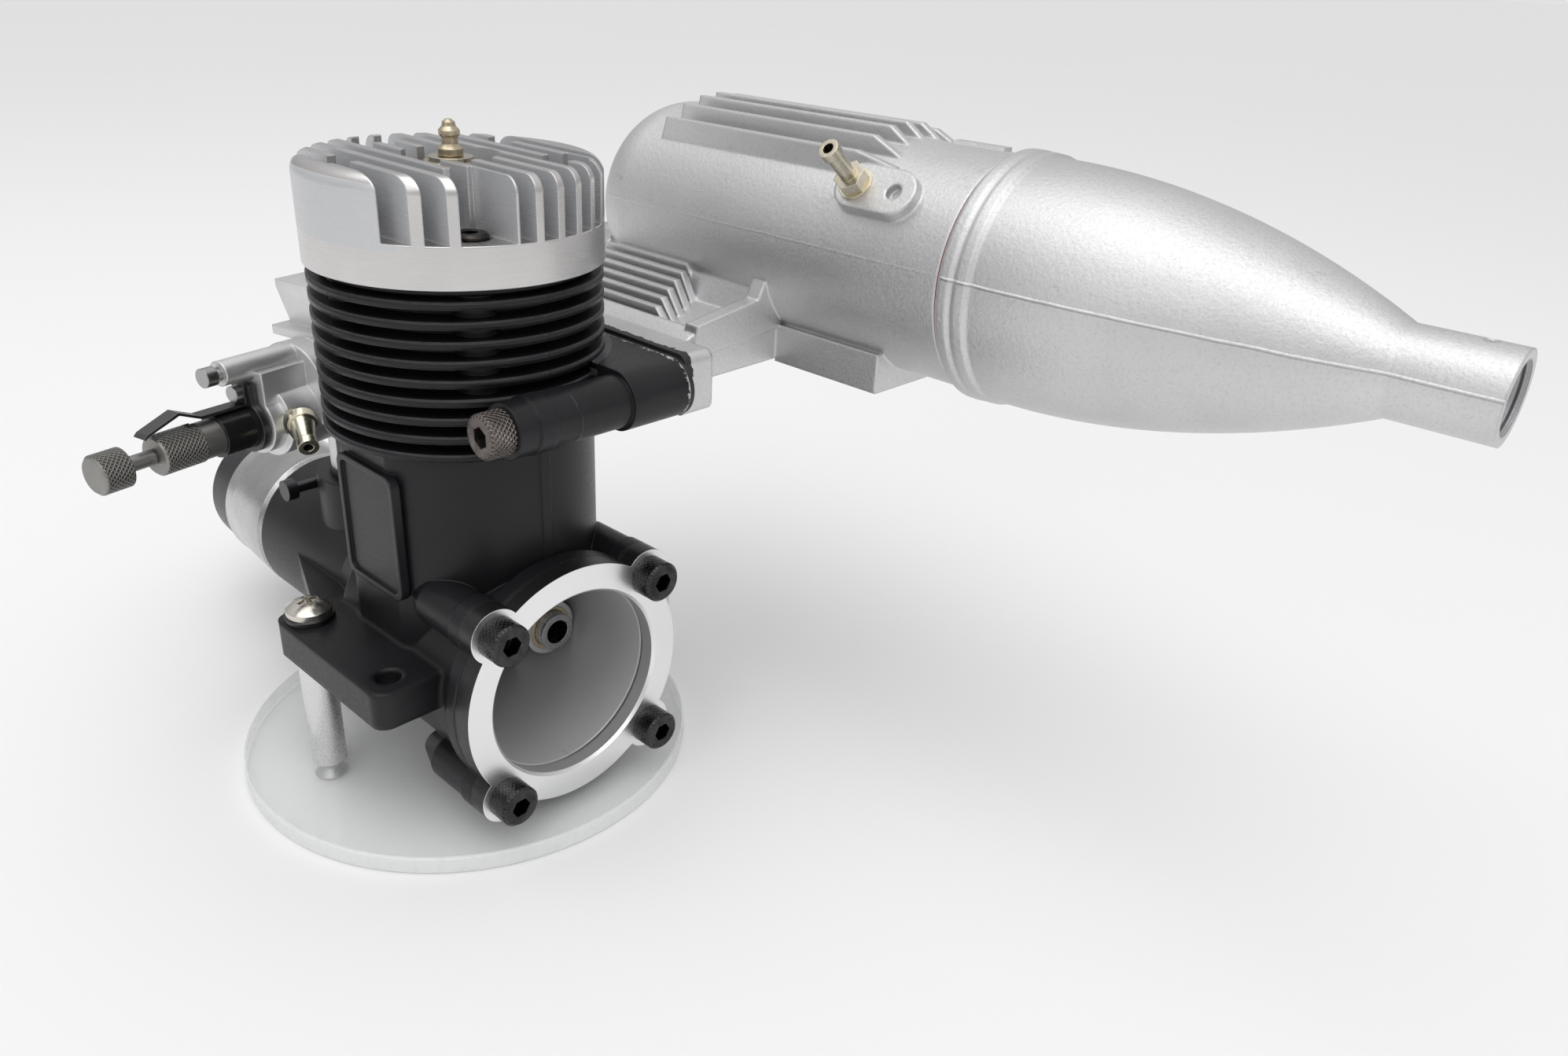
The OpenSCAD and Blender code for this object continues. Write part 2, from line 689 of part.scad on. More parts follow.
module cylinder_head() {
  color([0.82, 0.82, 0.83]) at_engine() difference() {
    union() {
      difference() {
        head_blank();
        for (i = [0:head_slots - 1])
          translate([head_shift + (i - (head_slots - 1) / 2) * head_pitch, 0,
            head_z + slot_floor + 15])
            cube([head_pitch - head_fin_t, 60, 30], center = true);
        translate([0, 0, head_z + slot_floor]) cylinder(h = 20, r = 7.4);
      }
      translate([0, 0, head_z]) cylinder(h = plug_seat - head_z, r = 6);
    }
    // Screw pockets, combustion chamber and plug thread
    head_screw_places() {
      translate([0, 0, head_seat]) cylinder(h = 20, r = pocket_half);
      box(-pocket_half, pocket_half, -pocket_half, pocket_half, head_z + slot_floor, head_z + 30);
      translate([0, 0, head_z - eps]) cylinder(h = 20, r = screw3_r + 0.1);
    }
    rotate([0, 0, -screw_turn]) translate([0, -head_screw_circle, 0]) rotate([0, 0, screw_turn])
      box(-pocket_half, pocket_half, -12, 0, head_z + slot_floor, head_z + 30);
    translate([0, 0, head_z - eps]) cylinder(h = 0.8 + eps, r = bore_r - 1);
    translate([0, 0, head_z + 0.8 - fit]) cylinder(h = 3, r1 = 7.5, r2 = 3.5);
    translate([0, 0, head_z]) cylinder(h = 20, r = plug_r);
  }
}

plug_r = 3.17;

module head_gasket() {
  color([0.7, 0.45, 0.3]) at_engine() translate([0, 0, deck_z]) difference() {
    cylinder(h = head_gasket_t, r = liner_flange_r - 0.2, $fn = 72);
    translate([0, 0, -eps]) cylinder(h = 2, r = bore_r, $fn = 72);
    translate([0, 0, -eps]) head_screw_places() cylinder(h = 2, r = screw3_r + 0.3);
  }
}

head_screw_grip = 7;

module head_screws() {
  color([0.16, 0.16, 0.17]) at_engine() head_screw_places()
    translate([0, 0, head_seat])
      cap_screw(screw3_r, head_seat - deck_z + head_screw_grip, screw3_head_r, screw3_head_h);
}

module glow_plug_body() {
  color([0.74, 0.7, 0.62]) at_engine() {
    difference() {
      union() {
        translate([0, 0, head_z + 2.6]) cylinder(h = plug_seat - head_z - 2, r = plug_r - fit);
        translate([0, 0, plug_seat + 0.5]) cylinder(h = 3.2, r = 4.6, $fn = 6);
        translate([0, 0, plug_seat + 3.7]) cylinder(h = 0.8, r = 3.4);
      }
      translate([0, 0, head_z + 2]) cylinder(h = 5, r = 1.6);
      translate([0, 0, plug_seat]) cylinder(h = 6, r = 1.3);
    }
  }
}

module glow_plug_washer() {
  color([0.8, 0.74, 0.6]) at_engine() translate([0, 0, plug_seat]) difference() {
    cylinder(h = 0.5, r = 4.9);
    translate([0, 0, -eps]) cylinder(h = 2, r = plug_r);
  }
}

module glow_plug_terminal() {
  color([0.78, 0.72, 0.6]) at_engine() translate([0, 0, plug_seat]) rotate_extrude()
    polygon([[0, 0.2], [1.28, 0.2], [1.28, 4.6], [1.9, 4.6], [1.9, 5.6], [1.25, 6.2],
      [1.25, 7.2], [1.6, 7.6], [1.6, 8.2], [1.05, 8.8], [0.95, 9.4], [0.4, 9.8], [0, 9.8]]);
}

module rear_cover() {
  color([0.88, 0.88, 0.88]) at_engine() difference() {
    cover_plate(cover_y, cover_t, chamber_r);
    // Small chamfer round the window
    y_cyl(chamber_r + 0.5, cover_y - cover_t - 0.01, cover_y - cover_t + 0.5, chamber_r);
  }
}

module rear_cover_gasket() {
  color([0.05, 0.05, 0.05]) at_engine() cover_plate(-rear_y, gasket_t, chamber_r + 0.4);
}

module rear_cover_screws() {
  color([0.12, 0.12, 0.13]) at_engine() cover_corners()
    translate([0, cover_y - cover_t, 0]) rotate([90, 0, 0])
      cap_screw(screw4_r, cover_t + gasket_t + 9, screw4_head_r, screw4_head_h);
}

// Carburettor, in its own frame: turned about its upright passage, needle along -X
body_x = 12;
body_back = 16;
body_r = 8.2;
body_z = 39.7;
sleeve_x = -24.6;
sleeve_end = -32.1;
collar_x = -35.6;
grip_x = -42.8;
sleeve_r = 3.6;
stop_z = 45.9;
tab_screw_z = 41.9;
web_half = 3.6;
bracket_x = sleeve_x - gap;
nipple_x = -19.6;
nipple_y = -5.6;
nipple_up = 0.9;
nipple_drop = 25.5;
nipple_splay = 32.3;

module at_carb() { at_engine() translate([0, carb_y, 0]) rotate([0, 0, carb_yaw]) children(); }

// Frame of the needle and the throttle rotor
module at_rotor() { at_carb() translate([0, 0, rotor_z]) children(); }

module at_nipple() {
  translate([nipple_x, nipple_y, rotor_z + nipple_up]) rotate([0, 0, -nipple_splay])
    rotate([nipple_drop, 0, 0]) children();
}

plate_left = 12.2;
plate_right = 9.4;
plate_half = 8.4;

module carburettor_horn() {
  hull() {
    box(-9.4, 9.4, -6.8, 6.8, body_z + body_r + 0.6, body_z + body_r + 0.7);
    box(-10.3, 10.3, -8.5, 8.5, horn_z - 1.2, horn_z);
  }
  box(-plate_left, plate_right, -plate_half, plate_half, body_z + body_r - 0.8, body_z + body_r + 0.8);
}

spigot = 7;

module carburettor_body() {
  color([0.78, 0.78, 0.79]) at_carb() difference() {
    union() {
      translate([0, 0, carb_seat - spigot]) cylinder(h = spigot + 2, r = neck_r - 1);
      translate([0, 0, carb_seat + 1.2]) cylinder(h = body_z - carb_seat, r = neck_r);
      translate([0, 0, body_z]) x_cyl(body_r, -body_back, body_x);
      translate([0, 0, rotor_z]) {
        x_cyl(rotor_r + 1.4, 2 - 24, body_x);
        x_cyl(rotor_r + 0.2, sleeve_x, -20);
      }
      translate([0, 0, stop_z]) x_cyl(2.1, -29.6, 0);
      // Web that ties the small boss to the rotor's barrel
      box(sleeve_x, 0, -web_half, web_half, rotor_z, stop_z - 0.6);
      carburettor_horn();
    }
    translate([0, 0, carb_seat - 8]) cylinder(h = 60, r = venturi_r);
    translate([0, 0, horn_z - 4]) cylinder(h = 4 + fit, r1 = venturi_r, r2 = 7.6);
    // Rotor bore open to the right, and the seat of the needle holder
    translate([0, 0, rotor_z]) {
      x_cyl(rotor_r + 0.04, -7, body_x + eps);
      x_cyl(3.02, sleeve_x - eps, -6);
    }
    translate([0, 0, stop_z]) x_cyl(1.02, -31, -14);
    translate([0, 0, tab_screw_z]) x_cyl(0.82, sleeve_x - eps, -19);
    // Clearance for the case's clamp screw
    rotate([0, 0, -carb_yaw]) translate([0, clamp_y, carb_seat - 4]) x_cyl(1.1, -12, 12);
    // Faced seat of the fuel nipple
    at_nipple() {
      y_cyl(1.52, -1, 2.6);
      y_cyl(2.9, -9, 0);
    }
  }
}

module carburettor_seal() {
  color([0.06, 0.06, 0.06]) at_engine() translate([0, carb_y, carb_seat]) difference() {
    cylinder(h = 1.2, r = neck_r + 0.4);
    translate([0, 0, -eps]) cylinder(h = 3, r = neck_r - 1 + fit);
  }
}

clamp_tip = 11;
clamp_shank = 13;
clamp_head = 1.6;

module carburettor_clamp_screw() {
  color([0.5, 0.5, 0.52]) at_engine() translate([0, carb_y + clamp_y, carb_seat - 4]) {
    x_cyl(1, -clamp_shank, clamp_tip);
    x_cyl(2, -clamp_shank - clamp_head, -clamp_shank + 0.4);
  }
}

module throttle_rotor() {
  color([0.7, 0.7, 0.72]) at_rotor() difference() {
    union() {
      x_cyl(rotor_r, -6.7, body_x);
      x_cyl(2.6, body_x - eps, body_x + 4.4);
    }
    cylinder(h = 30, r = venturi_r, center = true);
    x_cyl(1.22, 2, body_x + 5);
  }
}

module throttle_arm() {
  color([0.35, 0.35, 0.37]) at_rotor() difference() {
    union() {
      x_cyl(4.4, body_x + gap, body_x + 3.6);
      rotate([90, 0, 90]) translate([0, 0, body_x + gap]) linear_extrude(1.5) {
        polygon([[-3.4, 0], [-2, -15], [2, -15], [3.4, 0]]);
        translate([0, -15]) circle(2);
      }
    }
    x_cyl(2.6 + fit, body_x, body_x + 4);
    translate([0, 0, -15]) x_cyl(0.8, body_x, body_x + 4);
    translate([0, 0, -11]) x_cyl(0.8, body_x, body_x + 4);
    translate([body_x + 2.6, 0, 0]) rotate([90, 0, 0]) cylinder(h = 6, r = 0.82);
  }
}

module throttle_arm_screw() {
  color([0.5, 0.5, 0.52]) at_rotor() translate([body_x + 2.6, 0, 0]) rotate([90, 0, 0]) {
    translate([0, 0, 2.7]) cylinder(h = 2, r = 0.8);
    translate([0, 0, 4.5]) cylinder(h = 1.4, r = 1.5);
  }
}

module throttle_stop_screw() {
  color([0.5, 0.5, 0.52]) at_carb() translate([0, 0, stop_z]) {
    x_cyl(1, -31, -14.5);
    x_cyl(1.6, -32.6, -30.6);
  }
}

module idle_needle() {
  color([0.76, 0.66, 0.4]) at_rotor() {
    x_cyl(1.2 - fit, 3, body_x + 4.8);
    difference() {
      x_cyl(2, body_x + 4.7, body_x + 6.2);
      translate([body_x + 6, 0, 0]) cube([1, 5, 0.6], center = true);
    }
  }
}

module needle_holder() {
  color([0.5, 0.5, 0.49]) at_rotor() difference() {
    union() {
      x_cyl(3, sleeve_end - eps, -8);
      x_cyl(3.1, collar_x, sleeve_end);
      x_cyl(3.3, grip_x + 0.4, collar_x + 0.1);
      x_cyl(2.9, grip_x, grip_x + 0.4, 3.3);
    }
    x_cyl(0.95, grip_x - 1, -7);
    box(collar_x - 1.4, collar_x + 0.6, -1, 1, 2.5, 4);
  }
}

module needle_sleeve() {
  color([0.05, 0.05, 0.05]) at_rotor() difference() {
    x_cyl(sleeve_r, sleeve_end, sleeve_x);
    x_cyl(3, sleeve_end - 1, sleeve_x + 1);
  }
}

module needle_valve() {
  color([0.55, 0.55, 0.54]) at_rotor() {
    x_cyl(knob_r - 0.4, -knob_x, -knob_x + 0.4, knob_r);
    x_cyl(knob_r, -knob_x + 0.4, -knob_x + 4.6);
    x_cyl(1.25, -knob_x + 4.6 - eps, grip_x - gap);
    x_cyl(0.9, grip_x - gap - eps, -14);
    x_cyl(0.3, -14, -9, 0.9);
  }
}

module ratchet_bracket() {
  color([0.3, 0.3, 0.31]) at_rotor() difference() {
    union() {
      x_cyl(4.5, bracket_x - 1.2, bracket_x);
      box(bracket_x - 1.2, bracket_x, -2.2, 2.2, 0, stop_z - 2.5 - rotor_z);
    }
    x_cyl(sleeve_r + fit, bracket_x - 3, bracket_x + 3);
    translate([0, 0, tab_screw_z - rotor_z]) x_cyl(0.82, bracket_x - 3, bracket_x + 3);
  }
}

module ratchet_bracket_screw() {
  color([0.5, 0.5, 0.52]) at_carb() translate([0, 0, tab_screw_z]) {
    x_cyl(0.8, bracket_x - 1.8, sleeve_x + 4);
    x_cyl(1.4, bracket_x - 3, bracket_x - 1.6);
  }
}

// Leaf that clicks in the holder's notch: along the sleeve, over a crest, to the grip
module ratchet_spring() {
  color([0.35, 0.35, 0.36]) at_rotor() difference() {
    translate([0, 1.3, 0]) rotate([90, 0, 0]) linear_extrude(2.6)
      polygon([[bracket_x - 1.2, 3.9], [bracket_x - 1.2, 7.5], [bracket_x - 1.6, 7.5],
        [bracket_x - 1.6, 4.4], [-34.6, 4.5], [-38.4, 6.2], [-44.1, 4.2], [-44.7, 3.6],
        [-44.4, 3.4], [-43.9, 3.8], [-38.3, 5.7], [-34.5, 4]]);
    translate([0, 0, tab_screw_z - rotor_z]) x_cyl(0.82, bracket_x - 3, bracket_x);
  }
}

module fuel_nipple() {
  color([0.8, 0.7, 0.42]) at_carb() at_nipple() difference() {
    union() {
      y_cyl(1.5, -0.2, 2.4);
      y_cyl(2.4, -1.6, 0);
      y_cyl(1.45, -5.8, -1.5, 2.1);
      y_cyl(nipple_tip_r, -5.7 - nipple_tip, -5.7);
    }
    y_cyl(0.8, -9, 3);
  }
}

// Straight land at the tip of each nipple, where a tube first grips
nipple_tip = 1.5;
nipple_tip_r = 1.7;

// Exhaust side
module exhaust_gasket() {
  color([0.3, 0.28, 0.26]) at_engine() exhaust_plate(exhaust_x, flange_x - exhaust_x, screw4_r + 0.15);
}

module silencer_bolts() {
  color([0.33, 0.3, 0.28]) at_engine() for (s = [-1, 1])
    translate([s < 0 ? rear_boss_x : front_boss_x, s * bolt_y, exhaust_z]) rotate([0, -90, 0])
      cap_screw(screw4_r, neck_x - 0.6 - (s < 0 ? rear_boss_x : front_boss_x),
        screw4_head_r, screw4_head_h);
}

neck_half = 22.6;
neck_low = exhaust_z - 2.2;

flange_half = 28.7;

module silencer_flange() {
  translate([flange_x, 0, exhaust_z]) rotate([90, 0, 90]) linear_extrude(flange_t)
    difference() {
      translate([0, 0.2]) round_rect(2 * flange_half, 2 * exhaust_half + 0.6, 1.6);
      for (s = [-1, 1]) translate([s * bolt_y, 0]) circle(screw4_r + fit);
    }
}

// Outer form of the front chamber about its own axis
module chamber_form(r, front, corner) {
  turn_y() {
    translate([0, joint_y]) square([r, front - corner - joint_y]);
    translate([0, joint_y]) square([r - corner, front - joint_y]);
    translate([r - corner, front - corner]) intersection() {
      circle(corner, $fn = 72);
      square(corner + 1);
    }
  }
}

// Neck: sloping block with a raised rim round a tray of cast ribs
module silencer_neck() {
  translate([0, neck_half, 0]) rotate([90, 0, 0]) linear_extrude(2 * neck_half)
    polygon([[neck_x - eps, neck_low], [neck_x - eps, exhaust_z + 5.2],
      [30.6, exhaust_z + 6.8], [45, exhaust_z + 8.8], [47.6, silencer_z - 4.2],
      [60, silencer_z], [60, silencer_z - silencer_r + 0.6],
      [50, neck_low + 0.4]]);
  // Lip along the rear edge, up to the ridge on the chamber
  translate([0, lip_w - neck_half, 0]) rotate([90, 0, 0]) linear_extrude(lip_w + 0.6)
    polygon([[neck_x + 0.4, exhaust_z + 2], [30.2, exhaust_z + 7.6], [44.4, exhaust_z + 9.8],
      [46.8, silencer_z - 4], [49.8, silencer_z - 2.4], [56, silencer_z],
      [50, exhaust_z + 4], [40, exhaust_z + 3]]);
  // Ridge along the chamber
  box(47.4, 52, -ridge_back, neck_half, silencer_z - 6, silencer_z - 3.4);
}

lip_w = 2.5;
ridge_back = 28;

module neck_tray() {
  translate([0, neck_half - 3, 0]) rotate([90, 0, 0]) linear_extrude(2 * neck_half - 3 - lip_w)
    polygon([[31, exhaust_z + 4], [44.6, exhaust_z + 6.4], [47.4, silencer_z - 6.2],
      [47.4, silencer_z], [31, silencer_z]]);
}

rib_tips = [-15.4, -13.6, -12, -10.6, -9.2, -7.6];

// Ribs with slanted tips, in steps up the tray
module neck_ribs() {
  for (i = [0:5]) translate([31.6 + 2.9 * i, 0, 0]) rotate([90, 0, 90]) linear_extrude(1.5)
    polygon([[rib_tips[i], exhaust_z + 3], [rib_tips[i] + 4.6, exhaust_z + 8 + i * 0.8],
      [neck_half - 2, exhaust_z + 8 + i * 0.8], [neck_half - 2, exhaust_z + 3]]);
}

top_fin_front = 10.4;
top_fin_rear = -45;
top_fin_top = silencer_r + 2.4;

module silencer_top_fins() {
  for (i = [-3:3]) translate([i * 4.2 - 0.7, 0, 0]) rotate([90, 0, 90])
    linear_extrude(1.4)
      polygon([[top_fin_front, 12], [top_fin_front - 2, top_fin_top - 0.42 * i * i],
        [top_fin_rear + 8, top_fin_top - 0.42 * i * i], [top_fin_rear, silencer_r - 3],
        [top_fin_rear, 12]]);
}

boss_a = 51;
boss_gap = 19.4;
boss_y = joint_y + boss_gap;
boss_top = silencer_r + 1.8;
boss_end_r = 4;
boss_long = 7.5;

// Turns towards the pressure nipple's boss on the chamber's upper left
module at_boss() {
  translate([silencer_x, boss_y, silencer_z]) rotate([0, -boss_a, 0]) children();
}

module silencer_boss() {
  translate([0, 0, silencer_r - 3]) linear_extrude(boss_top - silencer_r + 3) {
    circle(boss_end_r);
    translate([0, -boss_long]) circle(boss_end_r);
    translate([-boss_end_r, -boss_long]) square([2 * boss_end_r, boss_long]);
  }
}

pad_gap = 3.9;
pad_long = 10.1;

module silencer_chamber() {
  color([0.8, 0.81, 0.82]) at_engine() difference() {
    union() {
      silencer_flange();
      difference() {
        silencer_neck();
        neck_tray();
      }
      neck_ribs();
      translate([silencer_x, 0, silencer_z]) {
        chamber_form(silencer_r, silencer_front, dome_r);
        silencer_top_fins();
      }
      at_boss() silencer_boss();
      // Small bare pad on top, and the rib block on the underside
      box(silencer_x + 1, silencer_x + 3.5, joint_y + pad_gap, joint_y + pad_gap + pad_long,
        silencer_z + silencer_r - 1, silencer_z + silencer_r + 0.4);
      box(50, 76, -46, -neck_half, silencer_z - silencer_r - 1.6, silencer_z - 14);
    }
    translate([silencer_x, 0, silencer_z]) {
      chamber_form(silencer_r - silencer_wall, silencer_front - silencer_wall,
        dome_r - silencer_wall);
      y_cyl(silencer_r - silencer_wall, joint_y - eps, 0);
    }
    // Gas passage from the exhaust port
    box(flange_x - eps, 53, -10, 10, exhaust_z - 1.4, exhaust_z + 3.5);
    box(flange_x - eps, neck_x - 1, -10, 10, exhaust_z - 3.5, exhaust_z + 3.5);
    at_boss() {
      cylinder(h = 40, r = 1.52);
      translate([0, -boss_long, boss_top - 1.4]) cylinder(h = 3, r = 1.3);
    }
  }
}

module silencer_baffle() {
  color([0.6, 0.6, 0.6]) at_engine() translate([silencer_x, 0, silencer_z]) difference() {
    y_cyl(silencer_r - silencer_wall - fit, joint_y + 1.4, joint_y + 2.6);
    for (i = [0:5]) rotate([0, 60 * i, 0]) translate([10, 0, 0])
      y_cyl(2.6, joint_y, joint_y + 4);
  }
}

module silencer_seal() {
  color([0.4, 0.1, 0.08]) at_engine() translate([silencer_x, 0, silencer_z])
    ring_y(silencer_r, silencer_r - silencer_wall + 0.2, cone_y, joint_y);
}

// Half section of the rear cone: a long ogive that runs into the tail pipe
ogive_drop = silencer_r + 0.4 - tail_r;
ogive_len = cone_len - ring_w;
ogive_r = (ogive_len * ogive_len + ogive_drop * ogive_drop) / (2 * ogive_drop);

module cone_profile(shrink) {
  intersection() {
    translate([0, tail_y]) square([silencer_r + 0.4 - shrink, cone_len + eps]);
    translate([silencer_r + 0.4 - ogive_r, cone_y - ring_w])
      circle(ogive_r - shrink, $fn = 360);
  }
}

module silencer_cone() {
  color([0.8, 0.81, 0.82]) at_engine() translate([silencer_x, 0, silencer_z])
    difference() {
      union() {
        turn_y() intersection() {
          cone_profile(0);
          translate([0, tail_y]) square([30, cone_len]);
        }
        // Joint ring: two soft beads
        turn_y() polygon([[ring_r - 3, cone_y], [ring_r - 0.6, cone_y], [ring_r, cone_y - 0.7],
          [ring_r, cone_y - 2.2], [ring_r - 0.4, cone_y - 2.9], [ring_r - 0.1, cone_y - 3.6],
          [ring_r - 0.2, cone_y - 5.2], [ring_r - 1, cone_y - ring_w], [ring_r - 3, cone_y - ring_w]]);
        y_cyl(tail_r, tail_y - tail_len, tail_y + eps);
      }
      turn_y() intersection() {
        cone_profile(silencer_wall);
        translate([0, tail_y + 4]) square([30, cone_len]);
      }
      y_cyl(tail_bore_r, tail_y - tail_len - eps, tail_y + 6);
      translate([0, tail_y - tail_len + 4.6, 0]) rotate([0, 0, 0])
        cylinder(h = 40, r = 0.9, center = true);
    }
}

module pressure_nipple() {
  color([0.76, 0.73, 0.64]) at_engine() at_boss() translate([0, 0, boss_top]) difference() {
    union() {
      translate([0, 0, -4]) cylinder(h = 5, r = 1.5);
      translate([0, 0, 0.5]) cylinder(h = 2.2, r = 2.7, $fn = 6);
      translate([0, 0, 2.6]) cylinder(h = 5.6, r = 1.35);
      translate([0, 0, 8.1]) cylinder(h = nipple_tip, r = nipple_tip_r);
    }
    translate([0, 0, -5]) cylinder(h = 20, r = 0.9);
  }
}

module pressure_nipple_washer() {
  color([0.7, 0.5, 0.3]) at_engine() at_boss() translate([0, 0, boss_top]) difference() {
    cylinder(h = 0.5, r = 2.9);
    translate([0, 0, -eps]) cylinder(h = 2, r = 1.52);
  }
}

// Stand
module post_places() {
  for (s = [-1, 1]) translate([s * lug_x, front_hole_y - axis_back, 0]) children();
}

screw_top = crank_h + lug_low + lug_t;
stand_washer_t = 1;

module stand_disc() {
  color([0.92, 0.94, 0.95, 0.4]) difference() {
    union() {
      cylinder(h = disc_t - 0.4, r = disc_r, $fn = 96);
      translate([0, 0, disc_t - 0.4]) cylinder(h = 0.4, r1 = disc_r, r2 = disc_r - 0.4, $fn = 96);
    }
    post_places() {
      translate([0, 0, -eps]) cylinder(h = disc_t + 2 * eps, r = screw3_r + 0.1);
      translate([0, 0, -fit]) cylinder(h = 1.6, r1 = 3, r2 = screw3_r);
    }
  }
}

module stand_posts() {
  color([0.83, 0.83, 0.84]) post_places() difference() {
    translate([0, 0, disc_t]) cylinder(h = disc_lift, r = post_r);
    translate([0, 0, disc_t - eps]) cylinder(h = 8, r = screw3_r + fit);
    translate([0, 0, disc_t + disc_lift - 9]) cylinder(h = 9 + eps, r = screw4_r + fit);
  }
}

module stand_screws() {
  color([0.78, 0.75, 0.7]) post_places() translate([0, 0, screw_top + stand_washer_t])
    difference() {
      union() {
        translate([0, 0, -lug_t - stand_washer_t - 8])
          cylinder(h = lug_t + stand_washer_t + 8, r = screw4_r);
        rotate_extrude() intersection() {
          translate([0, -3.4]) circle(5.9);
          square([3.8, 2.5]);
        }
      }
      for (a = [0, 90]) rotate([0, 0, a]) translate([0, 0, 2.4])
        cube([3.4, 0.8, 2], center = true);
    }
}

module stand_washers() {
  color([0.75, 0.75, 0.76]) post_places() translate([0, 0, screw_top]) difference() {
    cylinder(h = stand_washer_t, r = 4.1);
    translate([0, 0, -eps]) cylinder(h = 3, r = screw4_r + 0.15);
  }
}

base_screw_grip = 4.6;

module stand_base_screws() {
  color([0.6, 0.6, 0.62]) post_places() {
    translate([0, 0, 1.4]) cylinder(h = disc_t + base_screw_grip, r = screw3_r);
    difference() {
      translate([0, 0, 0.1]) cylinder(h = 1.4, r1 = 2.8, r2 = screw3_r);
      translate([0, 0, 0]) cylinder(h = 1, r = 0.9, $fn = 6);
    }
  }
}

crankcase();
cylinder_liner();
piston();
wrist_pin();
wrist_pin_clips();
conrod();
conrod_bushes();
crank_pin();
crankshaft();
rear_bearing_outer();
rear_bearing_inner();
rear_bearing_balls();
front_bearing_outer();
front_bearing_inner();
front_bearing_balls();
drive_hub();
hub_key();
prop_washer();
prop_nut();
cylinder_head();
head_gasket();
head_screws();
glow_plug_body();
glow_plug_washer();
glow_plug_terminal();
rear_cover();
rear_cover_gasket();
rear_cover_screws();
carburettor_body();
carburettor_seal();
carburettor_clamp_screw();
throttle_rotor();
throttle_arm();
throttle_arm_screw();
throttle_stop_screw();
idle_needle();
needle_holder();
needle_sleeve();
needle_valve();
ratchet_spring();
ratchet_bracket();
ratchet_bracket_screw();
fuel_nipple();
exhaust_gasket();
silencer_bolts();
silencer_chamber();
silencer_baffle();
silencer_seal();
silencer_cone();
pressure_nipple();
pressure_nipple_washer();
stand_disc();
stand_posts();
stand_screws();
stand_washers();
stand_base_screws();
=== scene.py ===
import json
import math

import bpy
import mathutils
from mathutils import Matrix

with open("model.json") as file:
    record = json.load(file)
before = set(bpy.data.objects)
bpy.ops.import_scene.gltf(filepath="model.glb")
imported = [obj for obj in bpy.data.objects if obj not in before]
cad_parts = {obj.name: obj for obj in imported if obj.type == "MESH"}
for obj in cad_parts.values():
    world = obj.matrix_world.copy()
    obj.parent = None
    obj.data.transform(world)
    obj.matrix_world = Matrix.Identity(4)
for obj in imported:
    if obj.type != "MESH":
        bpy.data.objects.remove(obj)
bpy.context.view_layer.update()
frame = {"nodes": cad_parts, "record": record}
nodes = frame["nodes"]
print("frame loaded:", len(nodes), "nodes")


# A socket, so that shader maths reads as plain sums
class Value:
    def __init__(self, tree, socket):
        self.tree = tree
        self.socket = socket

    def mathNode(self, operation, other=None):
        return addNode(self.tree, "ShaderNodeMath", {"operation": operation}, {0: self, 1: other})

    def __add__(self, other):
        return self.mathNode("ADD", other)

    __radd__ = __add__

    def __mul__(self, other):
        return self.mathNode("MULTIPLY", other)

    __rmul__ = __mul__

    def __sub__(self, other):
        return self.mathNode("SUBTRACT", other)

    def __rsub__(self, other):
        return self * -1 + other

    def __truediv__(self, other):
        return self.mathNode("DIVIDE", other)

    def above(self, other):
        return self.mathNode("GREATER_THAN", other)

    def most(self, other):
        return self.mathNode("MAXIMUM", other)

    def below(self, other):
        return self.mathNode("LESS_THAN", other)

    def fraction(self):
        return self.mathNode("FRACT")

    def angle(self, other):
        return self.mathNode("ARCTAN2", other)

    def size(self):
        return self.mathNode("ABSOLUTE")

    def root(self):
        return self.mathNode("SQRT")

    def wave(self):
        return self.mathNode("SINE")


# Puts a link, a colour or a number on a socket
def feed(tree, socket, value):
    if value is None:
        return
    if isinstance(value, Value):
        tree.links.new(value.socket, socket)
    elif isinstance(value, (tuple, list)) and len(value) == 3 and socket.type == "RGBA":
        socket.default_value = (*value, 1)
    else:
        socket.default_value = value


# Any node: its settings first, then the values or links of its sockets
def addNode(tree, kind, settings, inputs, output=0):
    made = tree.nodes.new(kind)
    for key, value in settings.items():
        setattr(made, key, value)
    for key, value in inputs.items():
        feed(tree, made.inputs[key], value)
    return Value(tree, made.outputs[output])


# Colours are mixed here, because a Math node turns a colour grey
def mixColors(tree, factor, first, second):
    return addNode(tree, "ShaderNodeMix", {"data_type": "RGBA"}, {0: factor, 6: first, 7: second}, 2)


def splitVector(vector):
    parts = addNode(vector.tree, "ShaderNodeSeparateXYZ", {}, {0: vector})
    return [Value(vector.tree, out) for out in parts.socket.node.outputs]


def scaled(color, factor):
    return tuple(part * factor for part in color)


